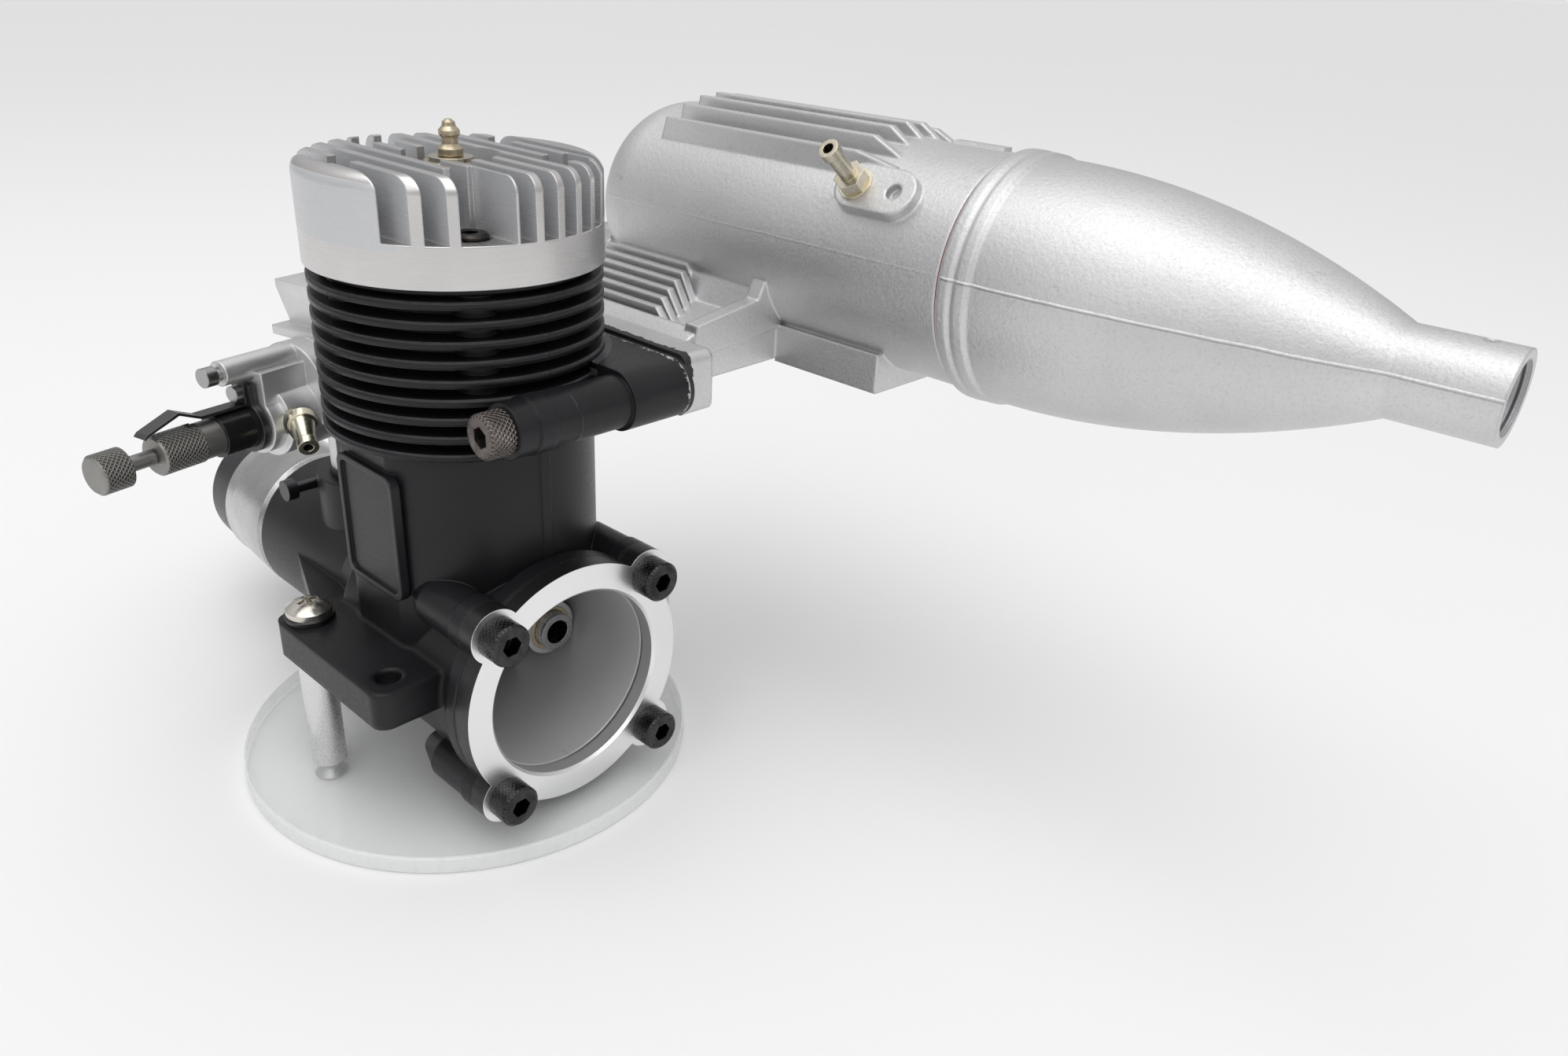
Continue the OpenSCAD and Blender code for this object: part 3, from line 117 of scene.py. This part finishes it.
# One finish: a Principled material with helpers for its pattern
class Finish:
    def __init__(self, name, color, rough, metal=0.0, ior=1.5):
        self.mat = bpy.data.materials.new(name)
        self.mat.use_nodes = True
        self.tree = self.mat.node_tree
        self.shader = self.tree.nodes["Principled BSDF"]
        self.put("Base Color", color)
        self.put("Roughness", rough)
        self.put("Metallic", metal)
        self.put("IOR", ior)
        self.place = self.node("ShaderNodeTexCoord", {}, {}, "Object")

    def put(self, name, value):
        feed(self.tree, self.shader.inputs[name], value)
        return self

    def node(self, kind, settings, inputs, output=0):
        return addNode(self.tree, kind, settings, inputs, output)

    # Object coordinates in metres, counted from a centre
    def axes(self, centre=(0, 0, 0)):
        inputs = {"Vector": self.place, "Location": scaled(centre, -1)}
        return splitVector(self.node("ShaderNodeMapping", {}, inputs))

    def noise(self, scale, detail=4.0, stretch=(1, 1, 1), rough=0.5):
        moved = self.node("ShaderNodeMapping", {}, {"Vector": self.place, "Scale": stretch})
        inputs = {"Vector": moved, "Scale": scale, "Detail": detail, "Roughness": rough}
        return self.node("ShaderNodeTexNoise", {}, inputs)

    def blend(self, factor, first, second):
        return mixColors(self.tree, factor, first, second)

    def range(self, value, low, high, outLow=0.0, outHigh=1.0):
        inputs = {"Value": value, "From Min": low, "From Max": high, "To Min": outLow, "To Max": outHigh}
        return self.node("ShaderNodeMapRange", {}, inputs)

    # A bump on top of those before it
    def bump(self, height, strength, distance):
        last = self.shader.inputs["Normal"].links
        inputs = {"Height": height, "Strength": strength, "Distance": distance}
        if last:
            inputs["Normal"] = Value(self.tree, last[0].from_socket)
        return self.put("Normal", self.node("ShaderNodeBump", {}, inputs))

    # Soft edges, as a casting or a broken edge has
    def soften(self, radius):
        return self.put("Normal", self.node("ShaderNodeBevel", {"samples": 8}, {"Radius": radius}))

    # The way the surface faces, in the object's own axes
    def facing(self):
        normal = self.node("ShaderNodeNewGeometry", {}, {}, "Normal")
        settings = {"vector_type": "NORMAL", "convert_from": "WORLD", "convert_to": "OBJECT"}
        return splitVector(self.node("ShaderNodeVectorTransform", settings, {0: normal}))


# Camera, found from the photograph: place in metres and turns in radians
photoCamera = {
    "place": (-0.10213, -0.16806, 0.13686), "yaw": 0.8452, "pitch": 0.4483, "roll": 0.0557,
    "focalPixels": 1500.4, "imageWidth": 1994, "sensorWidth": 36, "nearest": 0.01,
}


def addCamera():
    yaw, pitch, roll = photoCamera["yaw"], photoCamera["pitch"], photoCamera["roll"]
    ahead = mathutils.Vector(
        (math.sin(yaw) * math.cos(pitch), math.cos(yaw) * math.cos(pitch), -math.sin(pitch)))
    level = mathutils.Vector((math.cos(yaw), -math.sin(yaw), 0))
    lift = level.cross(ahead)
    right = level * math.cos(roll) + lift * math.sin(roll)
    up = lift * math.cos(roll) - level * math.sin(roll)
    data = bpy.data.cameras.new("camera")
    data.sensor_width = photoCamera["sensorWidth"]
    data.lens = photoCamera["sensorWidth"] * photoCamera["focalPixels"] / photoCamera["imageWidth"]
    data.clip_start = photoCamera["nearest"]
    turned = mathutils.Matrix((right, up, -ahead)).transposed().to_4x4()
    turned.translation = photoCamera["place"]
    camera = bpy.data.objects.new("camera", data)
    camera.matrix_world = turned
    bpy.context.scene.collection.objects.link(camera)
    bpy.context.scene.camera = camera


addCamera()
print("camera placed")

studio = {
    "floorSize": 400, "floorDrop": 0.0003, "floorColor": (0.865, 0.865, 0.866), "floorRough": 0.9,
    "floorTint": 1.02, "floorPatches": 3.0,
    "backColor": (1.075, 1.076, 1.079), "lowColor": (0.49, 0.491, 0.494), "highColor": (1.04, 1.04, 1.045),
    "riseFrom": -0.1, "riseTo": 0.9, "worldStrength": 0.72,
    "sunTilt": (28, -18, 0), "sunSpread": 50, "sunStrength": 0.75,
}

# name, place, aim, size, watts
lamps = [
    ("overheadLamp", (-0.1, 0.1, 0.75), (0.02, 0, 0.05), 0.7, 1.3),
    ("rearLamp", (0.1, -0.6, 0.4), (0.03, 0, 0.06), 0.5, 0.14),
    ("sideLamp", (-0.6, -0.15, 0.4), (0, 0, 0.05), 0.4, 0.35),
]


def addFloor():
    bpy.ops.object.select_all(action="DESELECT")
    bpy.ops.mesh.primitive_plane_add(size=studio["floorSize"], location=(0, 0, -studio["floorDrop"]))
    floor = bpy.context.object
    floor.name = "floor"
    finish = Finish("floorPaper", studio["floorColor"], studio["floorRough"])
    patches = finish.noise(studio["floorPatches"])
    lighter = scaled(studio["floorColor"], studio["floorTint"])
    finish.put("Base Color", finish.blend(patches, studio["floorColor"], lighter))
    floor.data.materials.append(finish.mat)


# The room is darker near the horizon than overhead, which models the round metal
def addRoom():
    world = bpy.data.worlds.new("studioWorld")
    world.use_nodes = True
    tree = world.node_tree
    height = splitVector(addNode(tree, "ShaderNodeTexCoord", {}, {}, "Generated"))[2]
    inputs = {"Value": height, "From Min": studio["riseFrom"], "From Max": studio["riseTo"]}
    rise = addNode(tree, "ShaderNodeMapRange", {"interpolation_type": "SMOOTHSTEP"}, inputs)
    room = mixColors(tree, rise, studio["lowColor"], studio["highColor"])
    seen = addNode(tree, "ShaderNodeLightPath", {}, {}, "Is Camera Ray")
    back = tree.nodes["Background"]
    feed(tree, back.inputs["Color"], mixColors(tree, seen, room, studio["backColor"]))
    feed(tree, back.inputs["Strength"], studio["worldStrength"])
    bpy.context.scene.world = world


def addLamp(name, spot, aim, size, watts):
    data = bpy.data.lights.new(name, "AREA")
    data.shape = "DISK"
    data.size = size
    data.energy = watts
    lamp = bpy.data.objects.new(name, data)
    lamp.location = spot
    towards = mathutils.Vector(aim) - mathutils.Vector(spot)
    lamp.rotation_euler = towards.to_track_quat("-Z", "Y").to_euler()
    bpy.context.scene.collection.objects.link(lamp)


# A wide sun stands for the big overhead softbox, so that the paper is lit evenly
def addSun():
    data = bpy.data.lights.new("softbox", "SUN")
    data.energy = studio["sunStrength"]
    data.angle = math.radians(studio["sunSpread"])
    sun = bpy.data.objects.new("softbox", data)
    sun.rotation_euler = [math.radians(turn) for turn in studio["sunTilt"]]
    bpy.context.scene.collection.objects.link(sun)


addFloor()
addRoom()
addSun()
for lamp in lamps:
    addLamp(*lamp)
bpy.context.scene.view_settings.view_transform = "Standard"
print("stage and lamps placed")


# Millimetres from the frame's origin back to the cylinder's axis, and up to the crank's axis
axisBack = 6
crankHeight = 26.3


# Engine millimetres, counted from those two axes, to metres of the shared frame
def place(x, y, z):
    return (x / 1000, (y - axisBack) / 1000, (z + crankHeight) / 1000)


crankCentre = place(0, axisBack, 0)
fullTurn = 6.2832


# Diamond knurl round an axis: the angle times a count, crossed by the distance along the axis
def knurl(finish, turn, along, count, pitch, mask, depth):
    spiral = along * (fullTurn / pitch)
    first = (turn * count + spiral).wave()
    second = (turn * count - spiral).wave()
    pattern = first.most(second)
    finish.bump(pattern * mask, 0.8, depth)
    return pattern


# Satin black casting: bore, nose and joint face show bare metal with painted shade darkening it inwards
# from the rear rim, and the fins have worn rims with painted highlight lines along their edges.
# Places are in metres from crankCentre
caseFinish = {
    "color": (0.0085, 0.0085, 0.0098), "lighter": 1.7, "scuff": (0.035, 0.035, 0.037), "rough": (0.3, 0.44),
    "reflect": 1.36, "edge": (0.085, 0.085, 0.09), "chip": (0.4, 0.4, 0.4), "bare": (0.62, 0.62, 0.625),
    "grain": 2600.0, "depth": 0.00003, "patches": 60.0, "scuffs": 420.0, "looseGrain": 700.0, "loose": 0.56,
    "boreShadeColor": (0.36, 0.36, 0.365), "boreRadius": 0.0176, "boreFront": 0.0119, "boreDull": 0.65,
    "noseFront": 0.04925, "jointFace": 0.02146, "chipFrom": 0.0195, "chipTo": 0.0216, "chipLow": 0.038,
    "finPitch": 0.0029, "finLevel": 0.0642, "finLow": 0.0385, "finHigh": 0.0655, "finsBelow": 20,
    "finRoot": 0.0222, "finReach": 0.0238, "barrelBack": 0.006, "rimCurve": -900000.0,
    "finSoft": 0.0004, "lugSoft": 0.0014, "lugHalf": 0.0075, "lugFrom": 0.0185,
}


def finishCase(name):
    entry = caseFinish
    finish = Finish(name, entry["color"], entry["rough"][0], ior=entry["reflect"])
    x, y, z = finish.axes(crankCentre)
    nx, ny, nz = finish.facing()
    lug = z.below(entry["lugHalf"]) * z.above(-entry["lugHalf"]) * x.size().above(entry["lugFrom"])
    finish.soften(lug * (entry["lugSoft"] - entry["finSoft"]) + entry["finSoft"])
    fine = finish.noise(entry["grain"], 3.0)
    broad = finish.noise(entry["patches"], 4.0)
    worn = finish.noise(entry["scuffs"], 5.0, rough=0.7)
    # Black skin with a slow change of tone and light scuffs
    lighter = scaled(entry["color"], entry["lighter"])
    tone = finish.blend(finish.range(broad, 0.35, 0.7), entry["color"], lighter)
    scuffed = finish.blend(finish.range(worn, 0.68, 0.78), tone, entry["scuff"])
    # Rims of the cooling fins, counted by their pitch, with lighter edge lines that are painted highlight,
    # partly worn paint
    level = (z - entry["finLevel"] + entry["finPitch"] * entry["finsBelow"]) / entry["finPitch"]
    offset = ((level + 0.5).fraction() - 0.5) * entry["finPitch"]
    back = y + entry["barrelBack"]
    reach = (x * x + back * back).root()
    ring = reach.above(entry["finRoot"]) * reach.below(entry["finReach"])
    fin = ring * z.above(entry["finLow"]) * z.below(entry["finHigh"])
    # Painted highlight along both edges of each fin rim, broken up by wear
    edge = finish.range(offset.size(), 0.00036, 0.00054) * fin * finish.range(worn, 0.3, 0.6, 0.35, 1.0)
    edged = finish.blend(edge, scuffed, entry["edge"])
    # Paint chips along the exhaust joint
    loose = finish.noise(entry["looseGrain"], 4.0, rough=0.7) + finish.range(x, 0.0198, 0.0215, -0.3, 0.12)
    strip = x.above(entry["chipFrom"]) * x.below(entry["chipTo"]) * z.above(entry["chipLow"])
    chipped = finish.blend(loose.above(entry["loose"]) * strip, edged, entry["chip"])
    # Machined faces, and the bore, with painted shade: the bare metal is lighter at the rear rim and darker
    # towards the front
    radius = (x * x + z * z).root()
    inward = (nx * x + nz * z).below(-0.0001).most(ny.below(-0.5))
    bore = radius.below(entry["boreRadius"]) * y.below(entry["boreFront"]) * inward
    bare = bore.most(y.above(entry["noseFront"])).most(x.above(entry["jointFace"]))
    # Painted shade: a darker grey blended in from the rear face inwards
    shade = finish.range(y, -0.024, 0.004, 1.0, 0.42)
    bareShaded = finish.blend(shade, entry["boreShadeColor"], entry["bare"])
    finish.put("Base Color", finish.blend(bare, chipped, bareShaded))
    finish.put("Metallic", bare - bore * entry["boreDull"])
    finish.put("Roughness", finish.range(fine, 0.3, 0.7, *entry["rough"]))
    finish.bump(fine, 0.25, entry["depth"])
    # Rounded rims, the mould seam down the barrel's rear, and turning marks on bare metal
    finish.bump(offset * offset * entry["rimCurve"] * fin, 1.0, 0.001)
    seam = finish.range(x.size(), 0.0001, 0.00035, 1.0, 0.0) * y.below(0) * reach.above(entry["finRoot"])
    finish.bump(seam, 0.6, 0.0002)
    turned = finish.noise(1.0, 2.0, stretch=(200, 6000, 200))
    finish.bump(turned * bare, 0.2, 0.00002)
    return finish.mat


# Head: turned side, milled slots, and fine edges that catch the light
headFinish = {
    "color": (0.7, 0.685, 0.675), "duller": (0.6, 0.59, 0.585), "smudge": (0.5, 0.49, 0.48),
    "wall": (0.56, 0.57, 0.59), "wallMetal": 0.4, "rough": (0.24, 0.4), "soft": 0.00035,
    "base": 66.5, "slotLow": 0.0052, "turned": (160, 160, 14000), "milled": (9000, 90, 400),
    "patches": 55.0, "smudges": 26.0, "depth": 0.00003,
}


def finishHead(name):
    entry = headFinish
    finish = Finish(name, entry["color"], entry["rough"][0], 1.0).soften(entry["soft"])
    z = finish.axes(place(0, 0, entry["base"]))[2]
    nx, _, nz = finish.facing()
    rings = finish.noise(1.0, 3.0, stretch=entry["turned"])
    milled = finish.noise(1.0, 3.0, stretch=entry["milled"])
    broad = finish.noise(entry["patches"], 4.0)
    smudge = finish.noise(entry["smudges"], 5.0, rough=0.75)
    flat = nz.size().above(0.6)
    grain = flat * milled + (1 - flat) * rings
    tone = finish.blend(finish.range(broad, 0.3, 0.7), entry["color"], entry["duller"])
    marked = finish.blend(finish.range(smudge, 0.62, 0.75, 0.0, 0.5), tone, entry["smudge"])
    slot = nx.size().above(0.8) * z.above(entry["slotLow"])
    finish.put("Base Color", finish.blend(slot * 0.8, marked, entry["wall"]))
    finish.put("Metallic", 1 - slot * (1 - entry["wallMetal"]))
    finish.put("Roughness", finish.range(grain, 0.3, 0.7, *entry["rough"]))
    finish.bump(grain, 0.25, entry["depth"])
    return finish.mat


# Blasted silencer casting: grain, scuffs, a mould seam, sealant at the flange and a thread in the mouth.
# Places are in metres from a point on the silencer's own axis
silencerFinish = {
    "color": (0.71, 0.71, 0.715), "dull": (0.64, 0.64, 0.645), "speck": (0.46, 0.46, 0.465),
    "scuff": (0.46, 0.46, 0.47), "sealant": (0.012, 0.012, 0.013), "mouth": (0.5, 0.5, 0.51),
    "rough": 0.5, "spread": 0.08, "soft": 0.0008, "centre": (64.5, 0, 65.7),
    "grain": 3000.0, "depth": 0.00006, "sand": 1300.0, "sandDepth": 0.00016, "patches": 40.0,
    "specks": 2200.0, "scuffs": 150.0, "scuffStretch": (1, 0.5, 1.4),
    "flangeFace": 0.0422, "sealantLow": -0.0205, "mouthRadius": 0.0052, "mouthStart": -0.124,
    "seamSlope": 0.142, "seamHeight": 0.00028, "seamFaint": 0.12, "jointAt": (-0.0612, -0.06),
    "threadPitch": 0.0009, "threadDepth": 0.0002,
}


def finishSilencer(name):
    entry = silencerFinish
    finish = Finish(name, entry["color"], entry["rough"], 1.0).soften(entry["soft"])
    x, y, z = finish.axes(place(*entry["centre"]))
    fine = finish.noise(entry["grain"], 3.0)
    sand = finish.noise(entry["sand"], 4.0, rough=0.6)
    broad = finish.noise(entry["patches"], 5.0)
    specks = finish.noise(entry["specks"], 3.0)
    scuff = finish.noise(entry["scuffs"], 6.0, stretch=entry["scuffStretch"], rough=0.7)
    tone = finish.blend(finish.range(broad, 0.35, 0.66), entry["color"], entry["dull"])
    speckled = finish.blend(finish.range(specks, 0.52, 0.75, 0.0, 0.35), tone, entry["speck"])
    marked = finish.blend(finish.range(scuff, 0.64, 0.72, 0.0, 0.45), speckled, entry["scuff"])
    # Sealant squeezed out along the flange, and the bare mouth of the pipe
    ragged = finish.noise(900.0, 4.0) * 0.0016 + finish.noise(260.0, 3.0) * 0.0012
    sealant = (x + entry["flangeFace"] - ragged).below(0.0001) * z.above(entry["sealantLow"])
    radius = (x * x + z * z).root()
    mouth = radius.below(entry["mouthRadius"]) * y.below(entry["mouthStart"])
    inner = finish.blend(mouth, marked, entry["mouth"])
    finish.put("Base Color", finish.blend(sealant, inner, entry["sealant"]))
    finish.put("Metallic", 1 - sealant - mouth * 0.6)
    low, high = entry["rough"] - entry["spread"], entry["rough"] + entry["spread"]
    finish.put("Roughness", finish.range(fine, 0.3, 0.7, low, high))
    finish.bump(fine, 0.4, entry["depth"])
    finish.bump(sand, 0.45, entry["sandDepth"])
    # Mould seam along the near side: raised on the tail cone, and faint on the chamber past the joint
    wander = (finish.noise(90.0, 2.0) - 0.5) * 0.0004
    fade = finish.range(y, *entry["jointAt"], 1.0, entry["seamFaint"])
    rise = (z + x * entry["seamSlope"] + wander).size()
    seam = finish.range(rise, 0.00008, 0.0003, 1.0, 0.0) * x.below(-0.004) * fade
    finish.bump(seam, 0.8, entry["seamHeight"])
    thread = (y * (fullTurn / entry["threadPitch"])).wave() * mouth
    finish.bump(thread, 0.8, entry["threadDepth"])
    return finish.mat


# Faced ring: bright machined rear face, black sealed sides, grey bore
coverFinish = {
    "face": (0.9, 0.9, 0.9), "duller": (0.86, 0.86, 0.865), "bore": (0.46, 0.46, 0.465), "boreMetal": 0.4,
    "sealant": (0.009, 0.009, 0.01), "rough": (0.3, 0.38), "soft": 0.0002, "wallRadius": 0.0178,
    "grain": 3200.0, "depth": 0.00002, "patches": 60.0,
}


def finishCover(name):
    entry = coverFinish
    finish = Finish(name, entry["face"], entry["rough"][0], 1.0).soften(entry["soft"])
    x, _, z = finish.axes(crankCentre)
    radius = (x * x + z * z).root()
    side = finish.facing()[1].size().below(0.5)
    outside = radius.above(entry["wallRadius"]) * side
    inside = radius.below(entry["wallRadius"]) * side
    fine = finish.noise(entry["grain"], 3.0)
    broad = finish.noise(entry["patches"], 4.0)
    face = finish.blend(finish.range(broad, 0.35, 0.7), entry["face"], entry["duller"])
    tone = finish.blend(inside, face, entry["bore"])
    finish.put("Base Color", finish.blend(outside, tone, entry["sealant"]))
    finish.put("Metallic", 1 - outside - inside * (1 - entry["boreMetal"]))
    finish.put("Roughness", finish.range(fine, 0.3, 0.7, *entry["rough"]))
    finish.bump(fine, 0.12, entry["depth"])
    return finish.mat


# Screws with knurled heads: the point between them and their half spacing across and up, in millimetres,
# and the axis that they lie along. Their radius, pitch and cut are in metres
knurled = {
    "screw_black": {
        "color": (0.03, 0.029, 0.029), "worn": (0.075, 0.073, 0.072), "rough": 0.3,
        "centre": (0, axisBack, 0), "spacing": (15.2, 15.2), "axis": "y", "cut": 0.00003,
    },
    "bolt_brown": {
        "color": (0.1, 0.088, 0.082), "worn": (0.25, 0.22, 0.205), "rough": 0.42,
        "centre": (0, 0, 47.2), "spacing": (26, 0), "axis": "x", "cut": 0.00018,
    },
}
screwHead = {
    "radius": 0.0029, "count": 26, "pitch": 0.0009, "soft": 0.00025, "spread": 0.08,
    "grain": 1800.0, "depth": 0.00003, "patches": 300.0,
}


def finishScrew(name, entry):
    rough, spread = entry["rough"], screwHead["spread"]
    finish = Finish(name, entry["color"], rough, 1.0).soften(screwHead["soft"])
    x, y, z = finish.axes(place(*entry["centre"]))
    across, up = entry["spacing"][0] / 1000, entry["spacing"][1] / 1000
    side = (x.size() if entry["axis"] == "y" else y.size()) - across
    rise = z.size() - up if up else z
    along = y if entry["axis"] == "y" else x
    radius = (side * side + rise * rise).root()
    rim = radius.above(screwHead["radius"])
    turn = side.angle(rise)
    pattern = knurl(finish, turn, along, screwHead["count"], screwHead["pitch"], rim, entry["cut"])
    fine = finish.noise(screwHead["grain"], 4.0)
    broad = finish.noise(screwHead["patches"], 5.0, rough=0.65)
    tone = finish.blend(finish.range(broad, 0.4, 0.7), entry["color"], entry["worn"])
    crests = finish.range(pattern, 0.3, 1.0, 0.0, 0.6) * rim
    finish.put("Base Color", finish.blend(crests, tone, entry["worn"]))
    finish.put("Roughness", finish.range(fine, 0.3, 0.7, rough - spread, rough + spread))
    finish.bump(fine, 0.25, screwHead["depth"])
    return finish.mat


# Needle knob and holder grip: knurled along the carburettor's own axis.
# Each knurled part has its start, its end and the radius from which it is cut
needleFinish = {
    "color": (0.11, 0.107, 0.1), "worn": (0.24, 0.236, 0.22), "smooth": (0.3, 0.295, 0.28),
    "darker": (0.25, 0.245, 0.23), "metal": 0.8, "rough": (0.34, 0.48), "soft": 0.0002,
    "centre": (0, 33, 35.9), "yaw": 12.9, "count": 26, "pitch": 0.0008, "cut": 0.00014,
    "knob": (-0.0525, -0.0481, 0.00305), "grip": (-0.0425, -0.0357, 0.003),
    "grain": 1600.0, "depth": 0.00003, "patches": 160.0,
}


def finishNeedle(name):
    entry = needleFinish
    finish = Finish(name, entry["color"], entry["rough"][0], entry["metal"]).soften(entry["soft"])
    x, y, z = finish.axes(place(*entry["centre"]))
    yaw = math.radians(entry["yaw"])
    along = x * math.cos(yaw) + y * math.sin(yaw)
    side = y * math.cos(yaw) - x * math.sin(yaw)
    radius = (side * side + z * z).root()
    onKnob, onGrip = [
        along.above(start) * along.below(end) * radius.above(inner)
        for start, end, inner in (entry["knob"], entry["grip"])
    ]
    mask = onKnob.most(onGrip)
    pattern = knurl(finish, side.angle(z), along, entry["count"], entry["pitch"], mask, entry["cut"])
    fine = finish.noise(entry["grain"], 4.0)
    broad = finish.noise(entry["patches"], 5.0)
    tone = finish.blend(finish.range(broad, 0.35, 0.75), entry["smooth"], entry["darker"])
    cut = finish.blend(finish.range(pattern, 0.2, 0.9), entry["color"], entry["worn"])
    finish.put("Base Color", finish.blend(mask, tone, cut))
    finish.put("Roughness", finish.range(fine, 0.3, 0.7, *entry["rough"]))
    finish.bump(fine, 0.2, entry["depth"])
    return finish.mat


# Clear plate that shows mainly by its rim
plateFinish = {
    "color": (0.93, 0.94, 0.94), "dusty": (0.84, 0.85, 0.85), "rough": (0.04, 0.14),
    "rimAt": (0.0400, 0.0405), "alpha": (0.22, 0.6), "dust": 500.0,
}


def finishPlate(name):
    entry = plateFinish
    finish = Finish(name, entry["color"], entry["rough"][0])
    x, y, _ = finish.axes()
    radius = (x * x + y * y).root()
    dust = finish.noise(entry["dust"], 5.0, rough=0.7)
    finish.put("Base Color", finish.blend(finish.range(dust, 0.5, 0.8), entry["color"], entry["dusty"]))
    finish.put("Alpha", finish.range(radius, *entry["rimAt"], *entry["alpha"]))
    finish.put("Roughness", finish.range(dust, 0.4, 0.8, *entry["rough"]))
    return finish.mat


# Finishes that need only a tone, a gloss and a grain, and the values that most of them share
usual = {"grain": 1600.0, "depth": 0.00003, "patches": 70.0, "wear": 0.15, "soft": 0.0002, "spread": 0.06}
plain = {
    "steel": {"color": (0.46, 0.46, 0.46), "rough": 0.33, "metal": 1.0},
    "liner_brass": {"color": (0.72, 0.7, 0.62), "rough": 0.25, "metal": 1.0},
    "piston_aluminium": {"color": (0.66, 0.67, 0.68), "rough": 0.35, "metal": 1.0},
    "ground_steel": {"color": (0.42, 0.42, 0.43), "rough": 0.25, "metal": 1.0},
    "spring_steel": {"color": (0.13, 0.13, 0.135), "rough": 0.35, "metal": 1.0},
    "rod_aluminium": {"color": (0.62, 0.62, 0.62), "rough": 0.35, "metal": 1.0},
    "bronze": {"color": (0.6, 0.5, 0.36), "rough": 0.32, "metal": 1.0},
    "bearing_steel": {"color": (0.6, 0.61, 0.62), "rough": 0.22, "metal": 1.0},
    "ball_chrome": {"color": (0.8, 0.8, 0.82), "rough": 0.1, "metal": 1.0},
    "hub_aluminium": {"color": (0.6, 0.6, 0.595), "rough": 0.26, "metal": 1.0, "wear": 0.3},
    "washer_black": {"color": (0.03, 0.03, 0.033), "rough": 0.35, "metal": 0.4},
    "nut_black": {"color": (0.08, 0.08, 0.085), "rough": 0.35, "metal": 1.0},
    "copper": {"color": (0.62, 0.36, 0.22), "rough": 0.4, "metal": 1.0},
    "head_screw_black": {"color": (0.06, 0.055, 0.05), "rough": 0.36, "metal": 1.0},
    "plug_nickel": {"color": (0.62, 0.57, 0.46), "rough": 0.25, "metal": 1.0},
    "plug_washer": {"color": (0.74, 0.68, 0.52), "rough": 0.3, "metal": 1.0},
    "plug_terminal": {"color": (0.55, 0.47, 0.34), "rough": 0.28, "metal": 1.0},
    "gasket_black": {"color": (0.012, 0.012, 0.013), "rough": 0.3, "metal": 0.0},
    "carburettor_aluminium": {
        "color": (0.74, 0.74, 0.74), "rough": 0.42, "metal": 0.75,
        "grain": 1200.0, "depth": 0.00005, "soft": 0.0005,
    },
    "seal_rubber": {"color": (0.02, 0.02, 0.02), "rough": 0.55, "metal": 0.0},
    "rotor_steel": {"color": (0.5, 0.5, 0.52), "rough": 0.25, "metal": 1.0},
    "arm_steel": {"color": (0.14, 0.14, 0.145), "rough": 0.4, "metal": 1.0},
    "brass": {"color": (0.72, 0.58, 0.33), "rough": 0.25, "metal": 1.0},
    "sleeve_black": {"color": (0.012, 0.012, 0.012), "rough": 0.22, "metal": 0.0},
    "bracket_steel": {"color": (0.1, 0.1, 0.105), "rough": 0.42, "metal": 1.0},
    "nipple_brass": {"color": (0.74, 0.7, 0.56), "rough": 0.22, "metal": 1.0},
    "gasket_fibre": {"color": (0.014, 0.014, 0.015), "rough": 0.5, "metal": 0.0},
    "baffle_aluminium": {"color": (0.5, 0.5, 0.5), "rough": 0.4, "metal": 1.0},
    "seal_red": {"color": (0.3, 0.06, 0.04), "rough": 0.5, "metal": 0.0},
    "post_aluminium": {
        "color": (0.74, 0.74, 0.74), "rough": 0.26, "metal": 1.0,
        "wear": 0.03, "grain": 2600.0, "depth": 0.000008,
    },
    "pan_screw_steel": {"color": (0.72, 0.68, 0.62), "rough": 0.24, "metal": 1.0},
    "washer_steel": {"color": (0.1, 0.1, 0.105), "rough": 0.35, "metal": 1.0},
}


# Grain of a metal or moulded skin: fine bumps and a slow change of tone
def finishPlain(name, own):
    entry = {**usual, **own}
    color, rough, spread = entry["color"], entry["rough"], entry["spread"]
    finish = Finish(name, color, rough, entry["metal"]).soften(entry["soft"])
    fine = finish.noise(entry["grain"], 3.0)
    broad = finish.noise(entry["patches"], 4.0)
    worn = scaled(color, 1 - entry["wear"])
    finish.put("Base Color", finish.blend(finish.range(broad, 0.35, 0.68), color, worn))
    finish.put("Roughness", finish.range(fine, 0.3, 0.7, rough - spread, rough + spread))
    finish.bump(fine, 0.3, entry["depth"])
    return finish.mat


# Small pieces finished apart from the slot that they share
apart = {"carburettor_clamp_screw": "nut_black", "pressure_nipple_washer": "plug_washer"}

special = {
    "case_black": finishCase, "head_aluminium": finishHead, "silencer_cast": finishSilencer,
    "cover_aluminium": finishCover, "needle_steel": finishNeedle, "acrylic": finishPlate,
}
finishes = {}


def finishFor(slot):
    if slot not in finishes:
        if slot in special:
            finishes[slot] = special[slot](slot)
        elif slot in knurled:
            finishes[slot] = finishScrew(slot, knurled[slot])
        else:
            finishes[slot] = finishPlain(slot, plain[slot])
    return finishes[slot]


for subpart in frame["record"]["subparts"]:
    mesh = nodes[subpart["node"]].data
    mesh.materials.clear()
    mesh.materials.append(finishFor(apart.get(subpart["node"], subpart["material_slot"])))
print("finishes assigned:", len(finishes))
